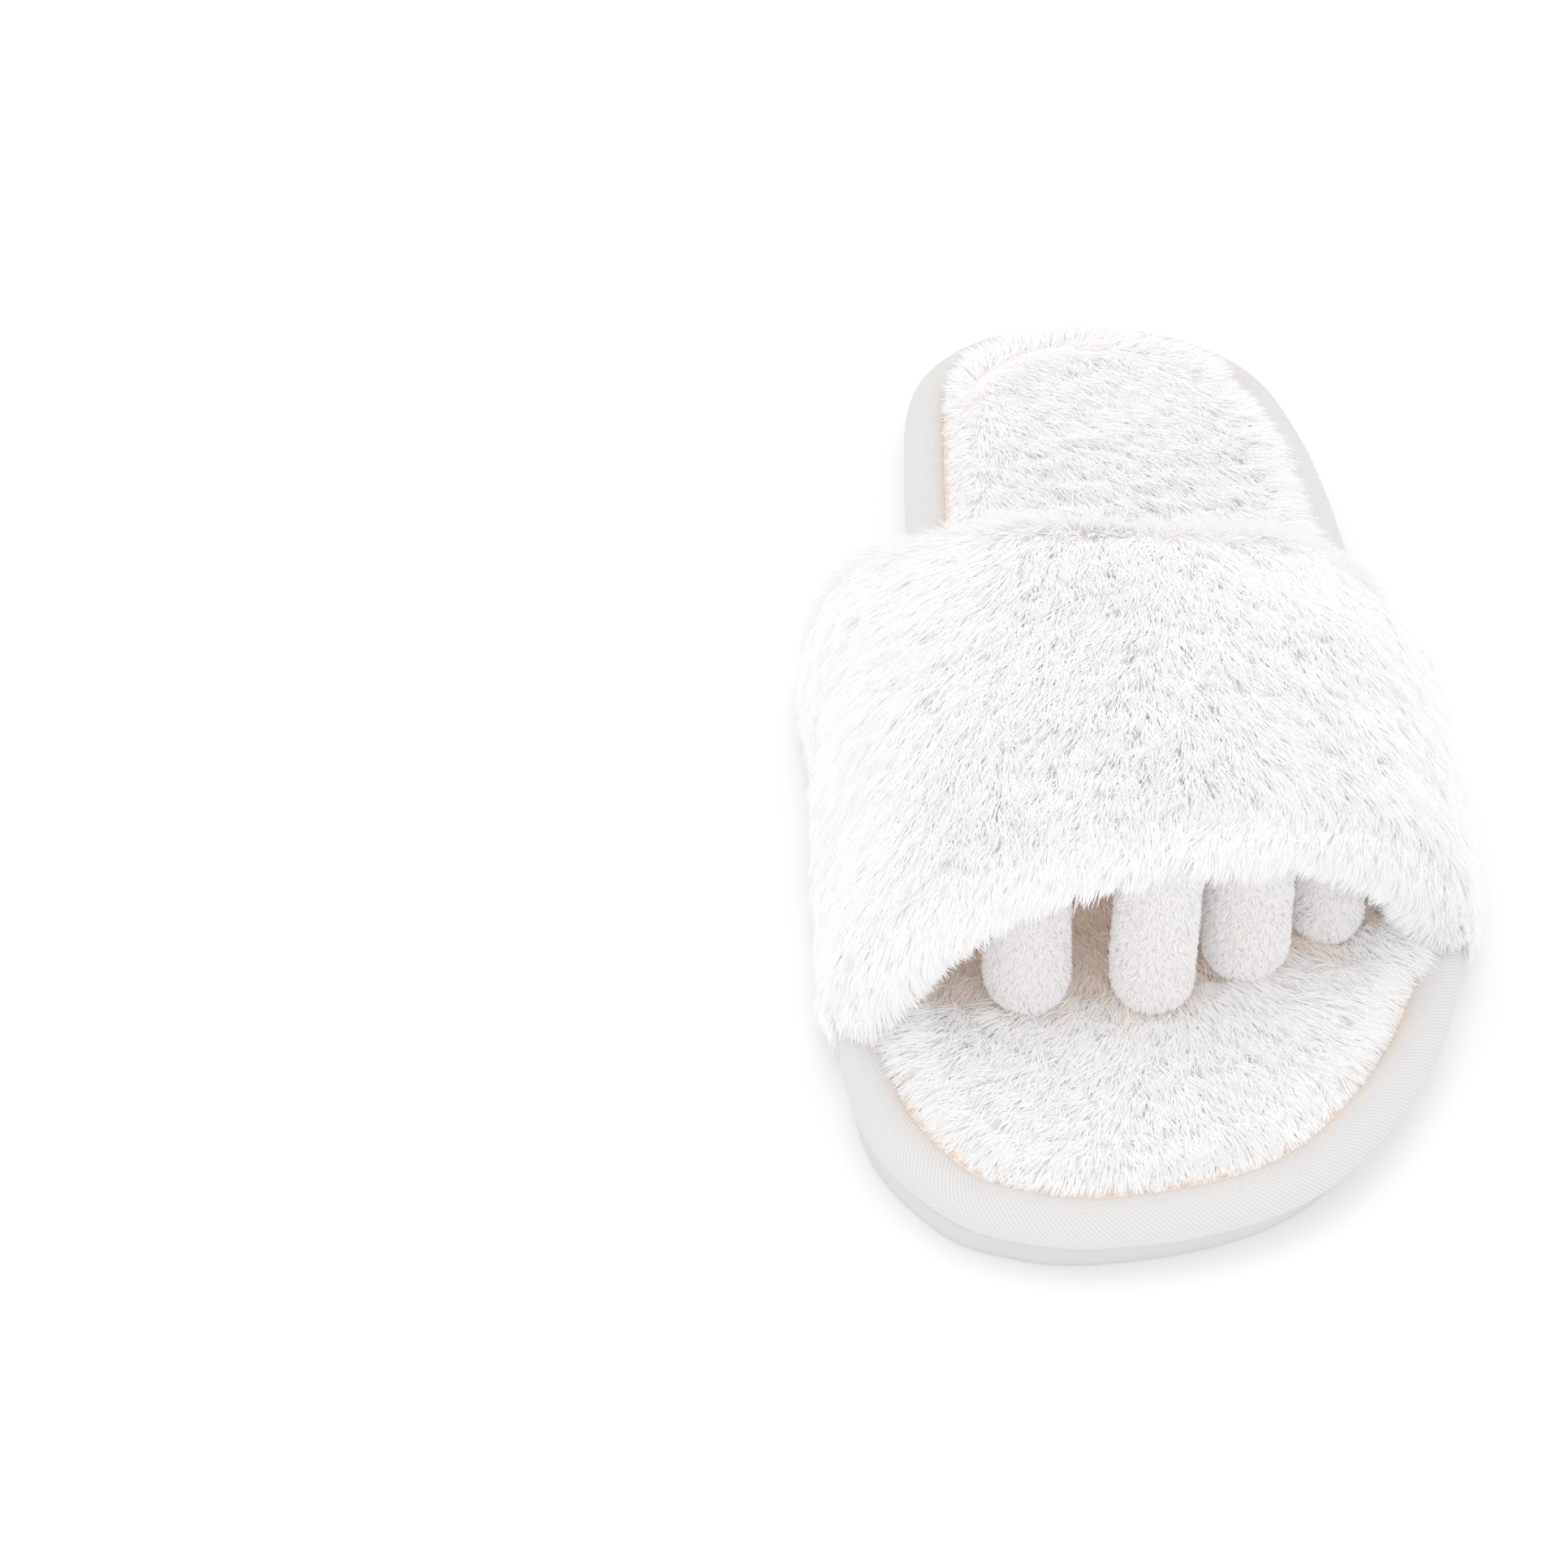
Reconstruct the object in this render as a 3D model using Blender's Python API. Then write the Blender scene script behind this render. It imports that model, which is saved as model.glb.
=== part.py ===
"""Open-toe plush house slipper for the left foot, with four padded toe separators.

Frame: origin at the middle of the tread on the ground, toe towards -Y, heel towards +Y,
the little-toe side towards +X, and +Z up. Driving sizes are in millimetres.
"""
import math

import bmesh
import bpy

MM = 0.001
GAP = 0.3                 # air left between two pieces that touch

# Footbed rim seen from above, anticlockwise from the toe tip (x, y).
RIM_POINTS = (
    (-12, -131), (8, -127), (24, -118), (37, -101.5), (47, -80), (52.5, -55), (53.5, -28),
    (50.7, 2), (46.6, 32), (43.4, 58), (41, 80), (37.2, 101.5), (30, 122), (15.5, 135),
    (-3, 139), (-20, 135.2), (-32, 124.3), (-37, 109), (-37.9, 86), (-38.5, 60), (-43, 32),
    (-49, 2), (-52.3, -35), (-52.3, -72), (-48.5, -103), (-37, -122.3), (-25.5, -129),
)
STEPS_PER_SPAN = 3        # outline stations between two rim points

# Sole stack, from the ground up.
OUTSOLE_TOP = 4.5
OUTSOLE_INSET = 3.0       # how far the outsole sits inside the rim
OUTSOLE_SHIFT_X = -1.5
OUTSOLE_EDGE = 0.8        # rounding of its lower edge
TREAD_DEPTH = 1.2
TREAD_WIDTH = 2.4
TREAD_ROWS_Y = (-104, -92, -80, -68, -56, -44, 62, 74, 86, 98, 110)
TREAD_ENDS_X = (-30, 26)
FOOTBED_BOTTOM = OUTSOLE_TOP + GAP
BINDING_THICK = 1.0
RIM_WIDEST_Z = 7.9
RIM_TOP_Z = 11.4
RIM_CREST_IN = 3.4        # the rim's crest, measured in from its widest line
RIM_SHOULDER = (1.0, -1.2)     # outer shoulder: in from the widest line, above the crest
RIM_TURN_IN = (0.7, 2.8)  # where the binding turns under the footbed
SEAM_IN = 7.3             # inner edge of the binding
SEAM_Z = 10.6
FLANGE_IN = 9.0           # inner edge of the binding under the footbed
FILLER_THICK = 1.0
FILLER_GAP = 0.4
BOARD_Z = (6.1, 7.3)
BOARD_INSET = 3.8
CUSHION_Z = (7.6, 9.3)
CUSHION_INSET = 3.0
SOCK_BACKING_Z = 9.6
SOCK_TOP = 15.0
SOCK_NECK_Z = RIM_TOP_Z + 0.3  # the sock's side, from its backing up: neck, lip and shoulder
SOCK_LIP = (SEAM_IN - 1.0, RIM_TOP_Z + 1.6)
SOCK_SHOULDER = (SEAM_IN - 0.4, SOCK_TOP - 0.8)
SOCK_TOP_IN = SEAM_IN + 2.2
SEAM_THREAD_RADIUS = 0.4
SEAM_THREAD_RAISE = 0.3

# Upper band: each tuple runs from its front edge to its rear edge.
BAND_BASE_Z = 4.4
BAND_MEDIAL_X = (-52.5, -53.8, -58.5, -53)
BAND_LATERAL_X = (53, 56.5, 57, 46.8)
BAND_MEDIAL_Y = (-84, -30, 34)
BAND_LATERAL_Y = (-60, -10, 46)
BAND_TOP_Y = (-83, -45, -9)
BAND_TOP_Z = (49, 64, 61)
BAND_LEAN = (0, 0, -8)          # how far the crown leans to the medial side
BAND_SQUARE_MEDIAL = (2.6, 2.8, 1.6)
BAND_SQUARE_LATERAL = (2.3, 2.6, 1.7)
BAND_SWEEP_MEDIAL = (1, 1, 2.0)
BAND_SWEEP_LATERAL = (1, 1, 1.1)
BAND_STATIONS = 30              # stations across the foot
BAND_SHARES = (0.21, 0.35, 0.5, 0.65, 0.79)     # stations along the foot, all layers

# Layers through the band, as depths below its outer surface.
FUR_DEPTH = 8.0
PADDING_DEPTH = (8.5, 11.1)
LINING_DEPTH = (11.5, 13.6)
WALL_DEPTH = 13.6
EDGE_ROLL = 0.07          # length of the rounded edges, as a share of the band's length
FUR_RETURN = 0.13         # how far the fur comes back inside the band, same share
SHARE_GAP = 0.006         # gap at the layers' ends, same share
EDGE_THREAD_HALF = 0.005  # half the width of the edge threads, same share
EDGE_THREAD_THICK = 0.8

# Lasting margins: tongues of the upper that run under the footbed.
MARGIN_Z = (3.5, 4.5)
MARGIN_OUT = 1.2
MARGIN_IN = 11.0
MARGIN_MEDIAL_Y = (-80, 30)
MARGIN_LATERAL_Y = (-56, 42)
RECESS_SLACK = 6.0        # extra length of the outsole's recess beyond each margin's ends
RECESS_OUT = 4.0
RECESS_IN = MARGIN_IN + 1.0

# Toe separators, from the big toe's side (x, y of each centre).
SEPARATOR_CENTRES = ((-21.5, -77), (-0.8, -77), (14.2, -68.5), (28.5, -59))
SEPARATOR_RADIUS = 7.0
SEPARATOR_COVER = 1.6
SEPARATOR_BOTTOM = SOCK_TOP + GAP
SEPARATOR_TOP_DEPTH = 15.0      # depth of the separators' tops below the band's surface
SEPARATOR_INTO_WALL = 6.0       # extra length before the tops are cut to that depth
SEPARATOR_SIDES = 18
STITCH_RADIUS = 0.4
BASE_STITCH_RADIUS = 4.4
STITCH_DEPTH = 16.0             # depth of the top stitches below the band's surface

WHITE_FUR = (0.90, 0.89, 0.87)


# ---------------------------------------------------------------- maths helpers

def mix(low, high, share):
    return low + (high - low) * share


def bezier(controls, share):
    """Value at share (0 to 1) of a Bezier curve with any number of control values."""
    values = list(controls)
    while len(values) > 1:
        values = [mix(a, b, share) for a, b in zip(values, values[1:])]
    return values[0]


def signed_power(value, power):
    return math.copysign(abs(value) ** power, value)


def catmull_rom(a, b, c, d, share):
    return 0.5 * (2 * b + (c - a) * share + (2 * a - 5 * b + 4 * c - d) * share ** 2
                  + (3 * b - a - 3 * c + d) * share ** 3)


def smooth_loop(points, steps):
    """Closed smooth curve through points, with steps stations for each span."""
    loop = []
    count = len(points)
    for i in range(count):
        four = [points[(i + k) % count] for k in (-1, 0, 1, 2)]
        for step in range(steps):
            loop.append(tuple(catmull_rom(*[p[axis] for p in four], step / steps)
                              for axis in (0, 1)))
    return loop


RIM = smooth_loop(RIM_POINTS, STEPS_PER_SPAN)


def inset_rim(distance, shift_x=0.0):
    """The rim moved inwards by distance along its own normals."""
    count = len(RIM)
    loop = []
    for i, (x, y) in enumerate(RIM):
        before = RIM[i - 1]
        after = RIM[(i + 1) % count]
        along_x = after[0] - before[0]
        along_y = after[1] - before[1]
        length = math.hypot(along_x, along_y)
        loop.append((x - distance * along_y / length + shift_x,
                     y + distance * along_x / length))
    return loop


# ---------------------------------------------------------------- mesh helpers

def clear_scene():
    for obj in list(bpy.data.objects):
        bpy.data.objects.remove(obj, do_unlink=True)


def material(name, colour, roughness):
    result = bpy.data.materials.new(name)
    result.use_nodes = True
    shader = result.node_tree.nodes["Principled BSDF"]
    shader.inputs["Base Color"].default_value = (*colour, 1.0)
    shader.inputs["Roughness"].default_value = roughness
    shader.inputs["Metallic"].default_value = 0.0
    return result


def add_mesh(name, verts, faces, surface=None, smooth_angle=None):
    """Object from millimetre vertices; a cutter has no surface and stays hidden."""
    mesh = bpy.data.meshes.new(name)
    mesh.from_pydata([tuple(c * MM for c in v) for v in verts], [], faces)
    shape = bmesh.new()
    shape.from_mesh(mesh)
    bmesh.ops.triangulate(shape, faces=shape.faces)
    bmesh.ops.recalc_face_normals(shape, faces=shape.faces)
    shape.to_mesh(mesh)
    shape.free()
    obj = bpy.data.objects.new(name, mesh)
    bpy.context.scene.collection.objects.link(obj)
    if surface is None:
        obj.hide_render = True
        obj.display_type = "WIRE"
    else:
        mesh.materials.append(surface)
    if smooth_angle is not None:
        mesh.shade_smooth()
        mesh.set_sharp_from_angle(angle=math.radians(smooth_angle))
    return obj


def boolean(obj, other, operation):
    step = obj.modifiers.new(operation.title() + " " + other.name, "BOOLEAN")
    step.operation = operation
    step.solver = "EXACT"
    step.object = other


def stacked_loops(levels):
    """Vertices and faces of loops joined one above the other, capped at both ends."""
    count = len(levels[0])
    verts = [v for level in levels for v in level]
    faces = []
    for row in range(len(levels) - 1):
        low = row * count
        for i in range(count):
            j = (i + 1) % count
            faces.append((low + i, low + j, low + count + j, low + count + i))
    faces.append(tuple(range(count)))
    faces.append(tuple(range(len(verts) - count, len(verts))))
    return verts, faces


def swept_ring(sections):
    """Vertices and faces of closed sections joined round a closed path."""
    size = len(sections[0])
    count = len(sections)
    verts = [v for section in sections for v in section]
    faces = []
    for i in range(count):
        here = i * size
        there = ((i + 1) % count) * size
        for k in range(size):
            m = (k + 1) % size
            faces.append((here + k, there + k, there + m, here + m))
    return verts, faces


def footbed_stack(name, levels, surface=None, shift_x=0.0, smooth_angle=None):
    """Solid whose levels are (inset from the rim, z) pairs."""
    loops = [[(x, y, z) for x, y in inset_rim(inset, shift_x)] for inset, z in levels]
    verts, faces = stacked_loops(loops)
    return add_mesh(name, verts, faces, surface, smooth_angle)


def rim_ring(name, profile, surface, smooth_angle=None):
    """Ring swept round the rim from a closed profile of (inset, z) pairs."""
    loops = [inset_rim(inset) for inset, _ in profile]
    sections = [[(*loops[k][i], profile[k][1]) for k in range(len(profile))]
                for i in range(len(RIM))]
    verts, faces = swept_ring(sections)
    return add_mesh(name, verts, faces, surface, smooth_angle)


def thread_ring(name, centre, ring_radius, height, surface, sides=SEPARATOR_SIDES):
    """Ring of thread, four-sided in section, round a vertical axis; height(x, y) gives
    the height of its middle line."""
    sections = []
    for i in range(sides):
        turn = 2 * math.pi * i / sides
        middle_z = height(centre[0] + ring_radius * math.cos(turn),
                          centre[1] + ring_radius * math.sin(turn))
        section = []
        for k in range(4):
            corner = math.pi / 2 * k
            reach = ring_radius + STITCH_RADIUS * math.cos(corner)
            section.append((centre[0] + reach * math.cos(turn),
                            centre[1] + reach * math.sin(turn),
                            middle_z + STITCH_RADIUS * math.sin(corner)))
        sections.append(section)
    verts, faces = swept_ring(sections)
    return add_mesh(name, verts, faces, surface)


# ---------------------------------------------------------------- sole unit

def margin_band(name, side, y_range, out, inward, z_range, surface=None):
    """Strip along one side of the rim: side is -1 for medial and 1 for lateral."""
    chosen = [i for i, (x, y) in enumerate(RIM)
              if x * side > 0 and y_range[0] <= y <= y_range[1]]
    outer = inset_rim(-out)
    inner = inset_rim(inward)
    loop = [outer[i] for i in chosen] + [inner[i] for i in reversed(chosen)]
    verts, faces = stacked_loops([[(x, y, z) for x, y in loop] for z in z_range])
    return add_mesh(name, verts, faces, surface)


def make_outsole():
    surface = material("outsole", (0.79, 0.78, 0.75), 0.55)
    edge = OUTSOLE_INSET
    outsole = footbed_stack(
        "outsole",
        ((edge + OUTSOLE_EDGE, 0), (edge, OUTSOLE_EDGE), (edge, OUTSOLE_TOP)),
        surface, OUTSOLE_SHIFT_X)
    for number, y in enumerate(TREAD_ROWS_Y, 1):
        low = y - TREAD_WIDTH / 2
        high = y + TREAD_WIDTH / 2
        left, right = TREAD_ENDS_X
        groove = ((left, low), (right, low), (right, high), (left, high))
        verts, faces = stacked_loops([[(gx, gy, z) for gx, gy in groove]
                                      for z in (-1, TREAD_DEPTH)])
        boolean(outsole, add_mesh("tread_cutter_%d" % number, verts, faces), "DIFFERENCE")
    for name, side, y_range in (("medial", -1, MARGIN_MEDIAL_Y),
                                ("lateral", 1, MARGIN_LATERAL_Y)):
        recess = margin_band("margin_recess_" + name, side,
                             (y_range[0] - RECESS_SLACK, y_range[1] + RECESS_SLACK),
                             RECESS_OUT, RECESS_IN, (MARGIN_Z[0] - GAP, OUTSOLE_TOP + 2))
        boolean(outsole, recess, "DIFFERENCE")


def make_sole_layers():
    footbed_stack("bottom_filler",
                  [(FLANGE_IN + FILLER_GAP, z)
                   for z in (FOOTBED_BOTTOM, FOOTBED_BOTTOM + FILLER_THICK)],
                  material("bottom_filler", (0.25, 0.25, 0.27), 0.9))
    footbed_stack("insole_board", [(BOARD_INSET, z) for z in BOARD_Z],
                  material("insole_board", (0.55, 0.42, 0.28), 0.9))
    footbed_stack("cushion_foam", [(CUSHION_INSET, z) for z in CUSHION_Z],
                  material("cushion_foam", (0.93, 0.88, 0.74), 0.95))


def make_binding():
    thick = BINDING_THICK
    bottom = FOOTBED_BOTTOM
    shoulder_in, shoulder_up = RIM_SHOULDER
    heel_in, turn_in = RIM_TURN_IN
    outer = ((FLANGE_IN, bottom), (turn_in, bottom), (heel_in, bottom + thick),
             (0, RIM_WIDEST_Z), (shoulder_in, RIM_TOP_Z + shoulder_up),
             (RIM_CREST_IN, RIM_TOP_Z), (SEAM_IN, SEAM_Z))
    inner = ((SEAM_IN, SEAM_Z - thick), (RIM_CREST_IN, RIM_TOP_Z - thick),
             (thick, RIM_WIDEST_Z), (RIM_CREST_IN, bottom + thick),
             (FLANGE_IN, bottom + thick))
    rim_ring("edge_binding", outer + inner,
             material("edge_binding", (0.83, 0.81, 0.78), 0.9), 50)
    centre_in = SEAM_IN + GAP + SEAM_THREAD_RADIUS
    low = SEAM_Z + SEAM_THREAD_RAISE
    half = SEAM_THREAD_RADIUS
    rim_ring("binding_seam_thread",
             ((centre_in - half, low), (centre_in, low - half),
              (centre_in + half, low), (centre_in, low + half)),
             material("binding_seam_thread", (0.72, 0.50, 0.36), 0.8), 50)


def make_sock():
    clear_of_thread = SEAM_IN + 2 * GAP + 2 * SEAM_THREAD_RADIUS
    footbed_stack("footbed_sock",
                  ((clear_of_thread, SOCK_BACKING_Z), (clear_of_thread, SOCK_NECK_Z),
                   SOCK_LIP, SOCK_SHOULDER, (SOCK_TOP_IN, SOCK_TOP)),
                  material("footbed_sock", WHITE_FUR, 0.95), 0.0, 60)


# ---------------------------------------------------------------- upper band

def band_point(share, turn, depth=0.0):
    """Point of the band: share runs front to rear, turn 0 to pi from the little-toe side
    over the top, and depth is measured in from the outer surface. The layers under the
    fur end higher up than the fur does."""
    lateral = (math.cos(turn) + 1) / 2
    square = mix(bezier(BAND_SQUARE_MEDIAL, share), bezier(BAND_SQUARE_LATERAL, share), lateral)
    across = signed_power(math.cos(turn), 2 / square)
    rise = abs(math.sin(turn)) ** (2 / square)
    medial_x = bezier(BAND_MEDIAL_X, share) + depth
    lateral_x = bezier(BAND_LATERAL_X, share) - depth
    medial_y = bezier(BAND_MEDIAL_Y, share)
    lateral_y = bezier(BAND_LATERAL_Y, share)
    sweep = mix(bezier(BAND_SWEEP_MEDIAL, share), bezier(BAND_SWEEP_LATERAL, share), lateral)
    x = (medial_x + lateral_x) / 2 + (lateral_x - medial_x) / 2 * across
    x += bezier(BAND_LEAN, share) * rise
    y = mix(medial_y, lateral_y, (across + 1) / 2)
    y += (bezier(BAND_TOP_Y, share) - (medial_y + lateral_y) / 2) * rise ** sweep
    base_z = BAND_BASE_Z + max(0.0, depth - FUR_DEPTH)
    z = base_z + (bezier(BAND_TOP_Z, share) - depth - base_z) * rise
    return (x, y, z)


def band_layer(name, profile, surface=None):
    """Arch swept over the foot from a closed profile of (share, depth) pairs."""
    levels = []
    for i in range(BAND_STATIONS + 1):
        turn = math.pi * i / BAND_STATIONS
        levels.append([band_point(share, turn, depth) for share, depth in profile])
    verts, faces = stacked_loops(levels)
    return add_mesh(name, verts, faces, surface, 50 if surface else None)


def layer_profile(start, end, low, high):
    """Rectangle in (share, depth), with stations along its two long sides."""
    shares = [start, *BAND_SHARES, end]
    return [(s, low) for s in shares] + [(s, high) for s in reversed(shares)]


def fur_profile():
    """C-shaped profile: outer face, rounded edges, and a short return on the inside."""
    roll = EDGE_ROLL
    half = WALL_DEPTH / 2
    rear_round = [(1 - roll + roll * math.sin(a), half - half * math.cos(a))
                  for a in (math.pi * k / 5 for k in range(6))]
    front_round = [(1 - share, depth) for share, depth in rear_round]
    outer = [(share, 0.0) for share in BAND_SHARES]
    return_depth = LINING_DEPTH[0]
    rear_inside = [(1 - FUR_RETURN, WALL_DEPTH), (1 - FUR_RETURN, return_depth),
                   (1 - roll, return_depth), (1 - roll, FUR_DEPTH)]
    front_inside = [(1 - share, depth) for share, depth in reversed(rear_inside)]
    under = [(share, FUR_DEPTH) for share in reversed(BAND_SHARES)]
    return outer + rear_round + rear_inside + under + front_inside + front_round[::-1]


def make_footbed_clearance():
    """The footbed with a little air round it, which shapes the lower ends of the band."""
    shoulder_in, shoulder_up = RIM_SHOULDER
    below = OUTSOLE_TOP - 2.5
    lip_in, lip_z = SOCK_LIP
    beside_sock = lip_in - 0.5
    sock_in, sock_z = SOCK_SHOULDER
    return footbed_stack("footbed_clearance",
                         ((FLANGE_IN, below), (-GAP, below), (-GAP, RIM_WIDEST_Z + GAP),
                          (shoulder_in - 0.2, RIM_TOP_Z + shoulder_up + GAP),
                          (RIM_CREST_IN, RIM_TOP_Z + GAP), (beside_sock, RIM_TOP_Z + GAP),
                          (beside_sock, lip_z + 0.2), (sock_in - 0.4, sock_z + 0.4),
                          (SOCK_TOP_IN, SOCK_TOP + GAP)))


def make_upper(clearance):
    fur = band_layer("upper_fur", fur_profile(), material("upper_fur", WHITE_FUR, 0.95))
    boolean(fur, clearance, "DIFFERENCE")
    for name, side, y_range in (("medial", -1, MARGIN_MEDIAL_Y),
                                ("lateral", 1, MARGIN_LATERAL_Y)):
        margin = margin_band("margin_" + name, side, y_range, MARGIN_OUT, MARGIN_IN, MARGIN_Z)
        boolean(fur, margin, "UNION")

    inner_start = EDGE_ROLL + SHARE_GAP
    padding = band_layer("upper_padding",
                         layer_profile(inner_start, 1 - inner_start, *PADDING_DEPTH),
                         material("upper_padding", (0.88, 0.86, 0.80), 0.95))
    boolean(padding, clearance, "DIFFERENCE")

    lining_start = FUR_RETURN + SHARE_GAP
    lining = band_layer("upper_lining",
                        layer_profile(lining_start, 1 - lining_start, *LINING_DEPTH),
                        material("upper_lining", (0.86, 0.80, 0.73), 0.95))
    boolean(lining, clearance, "DIFFERENCE")

    thread = material("edge_thread", (0.80, 0.72, 0.64), 0.8)
    low = WALL_DEPTH + GAP
    high = low + EDGE_THREAD_THICK
    half = EDGE_THREAD_HALF
    for name, share in (("front_edge_thread", FUR_RETURN), ("rear_edge_thread", 1 - FUR_RETURN)):
        seam = band_layer(name, ((share - half, low), (share + half, low),
                                 (share + half, high), (share - half, high)), thread)
        boolean(seam, clearance, "DIFFERENCE")


# ---------------------------------------------------------------- toe separators

def bisect(function, low, high, target):
    """Where a rising function meets the target."""
    for _ in range(24):
        middle = (low + high) / 2
        if function(middle) < target:
            low = middle
        else:
            high = middle
    return (low + high) / 2


def ceiling_z(x, y):
    """Height of the space under the band, STITCH_DEPTH below its outer surface, at (x, y)."""
    def turn_at(share):
        return bisect(lambda turn: -band_point(share, turn, STITCH_DEPTH)[0], 0.0, math.pi, -x)

    share = bisect(lambda s: band_point(s, turn_at(s), STITCH_DEPTH)[1], 0.0, 1.0, y)
    return band_point(share, turn_at(share), STITCH_DEPTH)[2]


def dome_rings(radius, bottom):
    """Rings (reach, z) of a domed end with a small flat at its lowest point."""
    rings = [(radius * math.sin(a), bottom + radius * (1 - math.cos(a)))
             for a in (math.pi / 2 * k / 4 for k in range(1, 5))]
    return [(rings[0][0], bottom)] + rings[1:]


def pillar(name, centre, radius, bottom, top, surface, bore=0.0):
    """Round pillar with a domed lower end; bore gives it a blind hole, open at the top."""
    rings = dome_rings(radius, bottom) + [(radius, top)]
    if bore:
        rings += [(bore, top)] + dome_rings(bore, bottom + radius - bore)[::-1]
    loops = []
    for reach, z in rings:
        loops.append([(centre[0] + reach * math.cos(2 * math.pi * i / SEPARATOR_SIDES),
                       centre[1] + reach * math.sin(2 * math.pi * i / SEPARATOR_SIDES), z)
                      for i in range(SEPARATOR_SIDES)])
    verts, faces = stacked_loops(loops)
    return add_mesh(name, verts, faces, surface, 40)


def make_separators():
    cover_surface = material("separator_cover", (0.84, 0.82, 0.79), 0.95)
    fill_surface = material("separator_fill", (0.92, 0.92, 0.90), 1.0)
    stitch_surface = material("separator_stitch", (0.80, 0.72, 0.64), 0.8)
    lid = band_layer("band_clearance", layer_profile(0.0, 1.0, 0.0, SEPARATOR_TOP_DEPTH))
    bore = SEPARATOR_RADIUS - SEPARATOR_COVER
    for number, centre in enumerate(SEPARATOR_CENTRES, 1):
        top = ceiling_z(*centre) + SEPARATOR_INTO_WALL
        cover = pillar("toe_separator_cover_%d" % number, centre, SEPARATOR_RADIUS,
                       SEPARATOR_BOTTOM, top, cover_surface, bore)
        boolean(cover, lid, "DIFFERENCE")
        fill = pillar("toe_separator_fill_%d" % number, centre, bore - GAP,
                      SEPARATOR_BOTTOM + SEPARATOR_COVER + GAP, top, fill_surface)
        boolean(fill, lid, "DIFFERENCE")
        thread_ring("separator_base_stitch_%d" % number, centre, BASE_STITCH_RADIUS,
                    lambda x, y: SEPARATOR_BOTTOM + STITCH_RADIUS, stitch_surface)
        thread_ring("separator_top_stitch_%d" % number, centre,
                    SEPARATOR_RADIUS + GAP + STITCH_RADIUS, ceiling_z, stitch_surface)


def main():
    clear_scene()
    make_outsole()
    make_sole_layers()
    make_binding()
    make_sock()
    make_upper(make_footbed_clearance())
    make_separators()


main()
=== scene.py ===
"""Looks of the plush house slipper: pile, bindings, seams, sole and studio, round the CAD frame."""
import math

import bpy
import numpy as np
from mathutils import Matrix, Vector
from mathutils.kdtree import KDTree


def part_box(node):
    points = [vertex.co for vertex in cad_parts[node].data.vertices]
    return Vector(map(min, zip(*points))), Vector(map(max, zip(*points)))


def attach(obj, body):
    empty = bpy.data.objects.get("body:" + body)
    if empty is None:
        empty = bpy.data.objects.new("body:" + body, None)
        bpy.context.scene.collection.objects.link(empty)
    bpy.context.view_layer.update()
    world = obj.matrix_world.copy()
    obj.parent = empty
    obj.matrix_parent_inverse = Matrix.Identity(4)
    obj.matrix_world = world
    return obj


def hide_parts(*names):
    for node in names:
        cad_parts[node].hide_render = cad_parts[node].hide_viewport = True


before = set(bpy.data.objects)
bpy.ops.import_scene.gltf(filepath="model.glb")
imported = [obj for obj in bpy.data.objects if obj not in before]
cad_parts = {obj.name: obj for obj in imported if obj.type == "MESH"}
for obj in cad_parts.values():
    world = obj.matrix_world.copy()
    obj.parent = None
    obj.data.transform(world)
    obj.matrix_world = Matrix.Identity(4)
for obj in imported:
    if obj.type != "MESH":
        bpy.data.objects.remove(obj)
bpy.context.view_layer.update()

MM = 0.001
TAU = 2 * math.pi

# Footbed, in metres. Heights repeat the CAD's sole stack.
OUTSOLE_TOP = 4.5 * MM
OUTSOLE_SHIFT_X = -1.5 * MM
TREAD_DEPTH = 1.2 * MM
TREAD_WIDTH = 2.4 * MM
TREAD_ROWS_Y = np.array((-104, -92, -80, -68, -56, -44, 62, 74, 86, 98, 110)) * MM
RIM_WIDEST_Z = 7.9 * MM
FOOTBED_TOP_Z = 11.9 * MM         # just above the rim
RIM_GAP = 0.4 * MM                # between the rim's side and the band's backing
SIDE_STEP = 1.8 * MM              # furthest that the backing is moved out past the rim
SEAM_IN = 7.3 * MM
SEAM_Z = 10.6 * MM
STITCH_PITCH = 3.3 * MM
STITCH_POINTS = 6                 # rings along one stitch
SOCK_IN = 9.5 * MM                # outer edge of the sock's backing
SOCK_EDGE_Z = 10.4 * MM           # level of that edge
SOCK_ROOT_Z = 13.0 * MM           # level that the sock's pile grows from
SOCK_PILE_LENGTH = 7.9 * MM
SOCK_CORNERS = np.array(((-36, -88, 8), (41, -62, 6))) * MM  # x, y and reach of tall pile
CORNER_EXTRA = 3.5 * MM           # how much longer the pile is there
SOCK_SWIRL = np.array((2, -58)) * MM    # the front's pile is combed away from here
SPINE_Y = (-82 * MM, 92 * MM)     # ends of the footbed's middle line
RIM_COUNT = 720                   # stations round the rim
BINDING_STATIONS = 1200

# Band over the foot: Bezier controls from its front edge to its rear edge, as in the CAD.
BAND_BASE_Z = 4.4 * MM
BAND_MEDIAL_X = np.array((-52.5, -53.8, -58.5, -53)) * MM
BAND_LATERAL_X = np.array((53, 56.5, 57, 46.8)) * MM
BAND_MEDIAL_Y = np.array((-84, -30, 34)) * MM
BAND_LATERAL_Y = np.array((-60, -10, 46)) * MM
BAND_TOP_Y = np.array((-83, -45, -9)) * MM
BAND_TOP_Z = np.array((49, 64, 61)) * MM
BAND_LEAN = np.array((0, 0, -8)) * MM
BAND_SQUARE_MEDIAL = (2.6, 2.8, 1.6)
BAND_SQUARE_LATERAL = (2.3, 2.6, 1.7)
BAND_SWEEP_MEDIAL = (1, 1, 2.0)
BAND_SWEEP_LATERAL = (1, 1, 1.1)
FUR_DEPTH = 8.0 * MM
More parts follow.
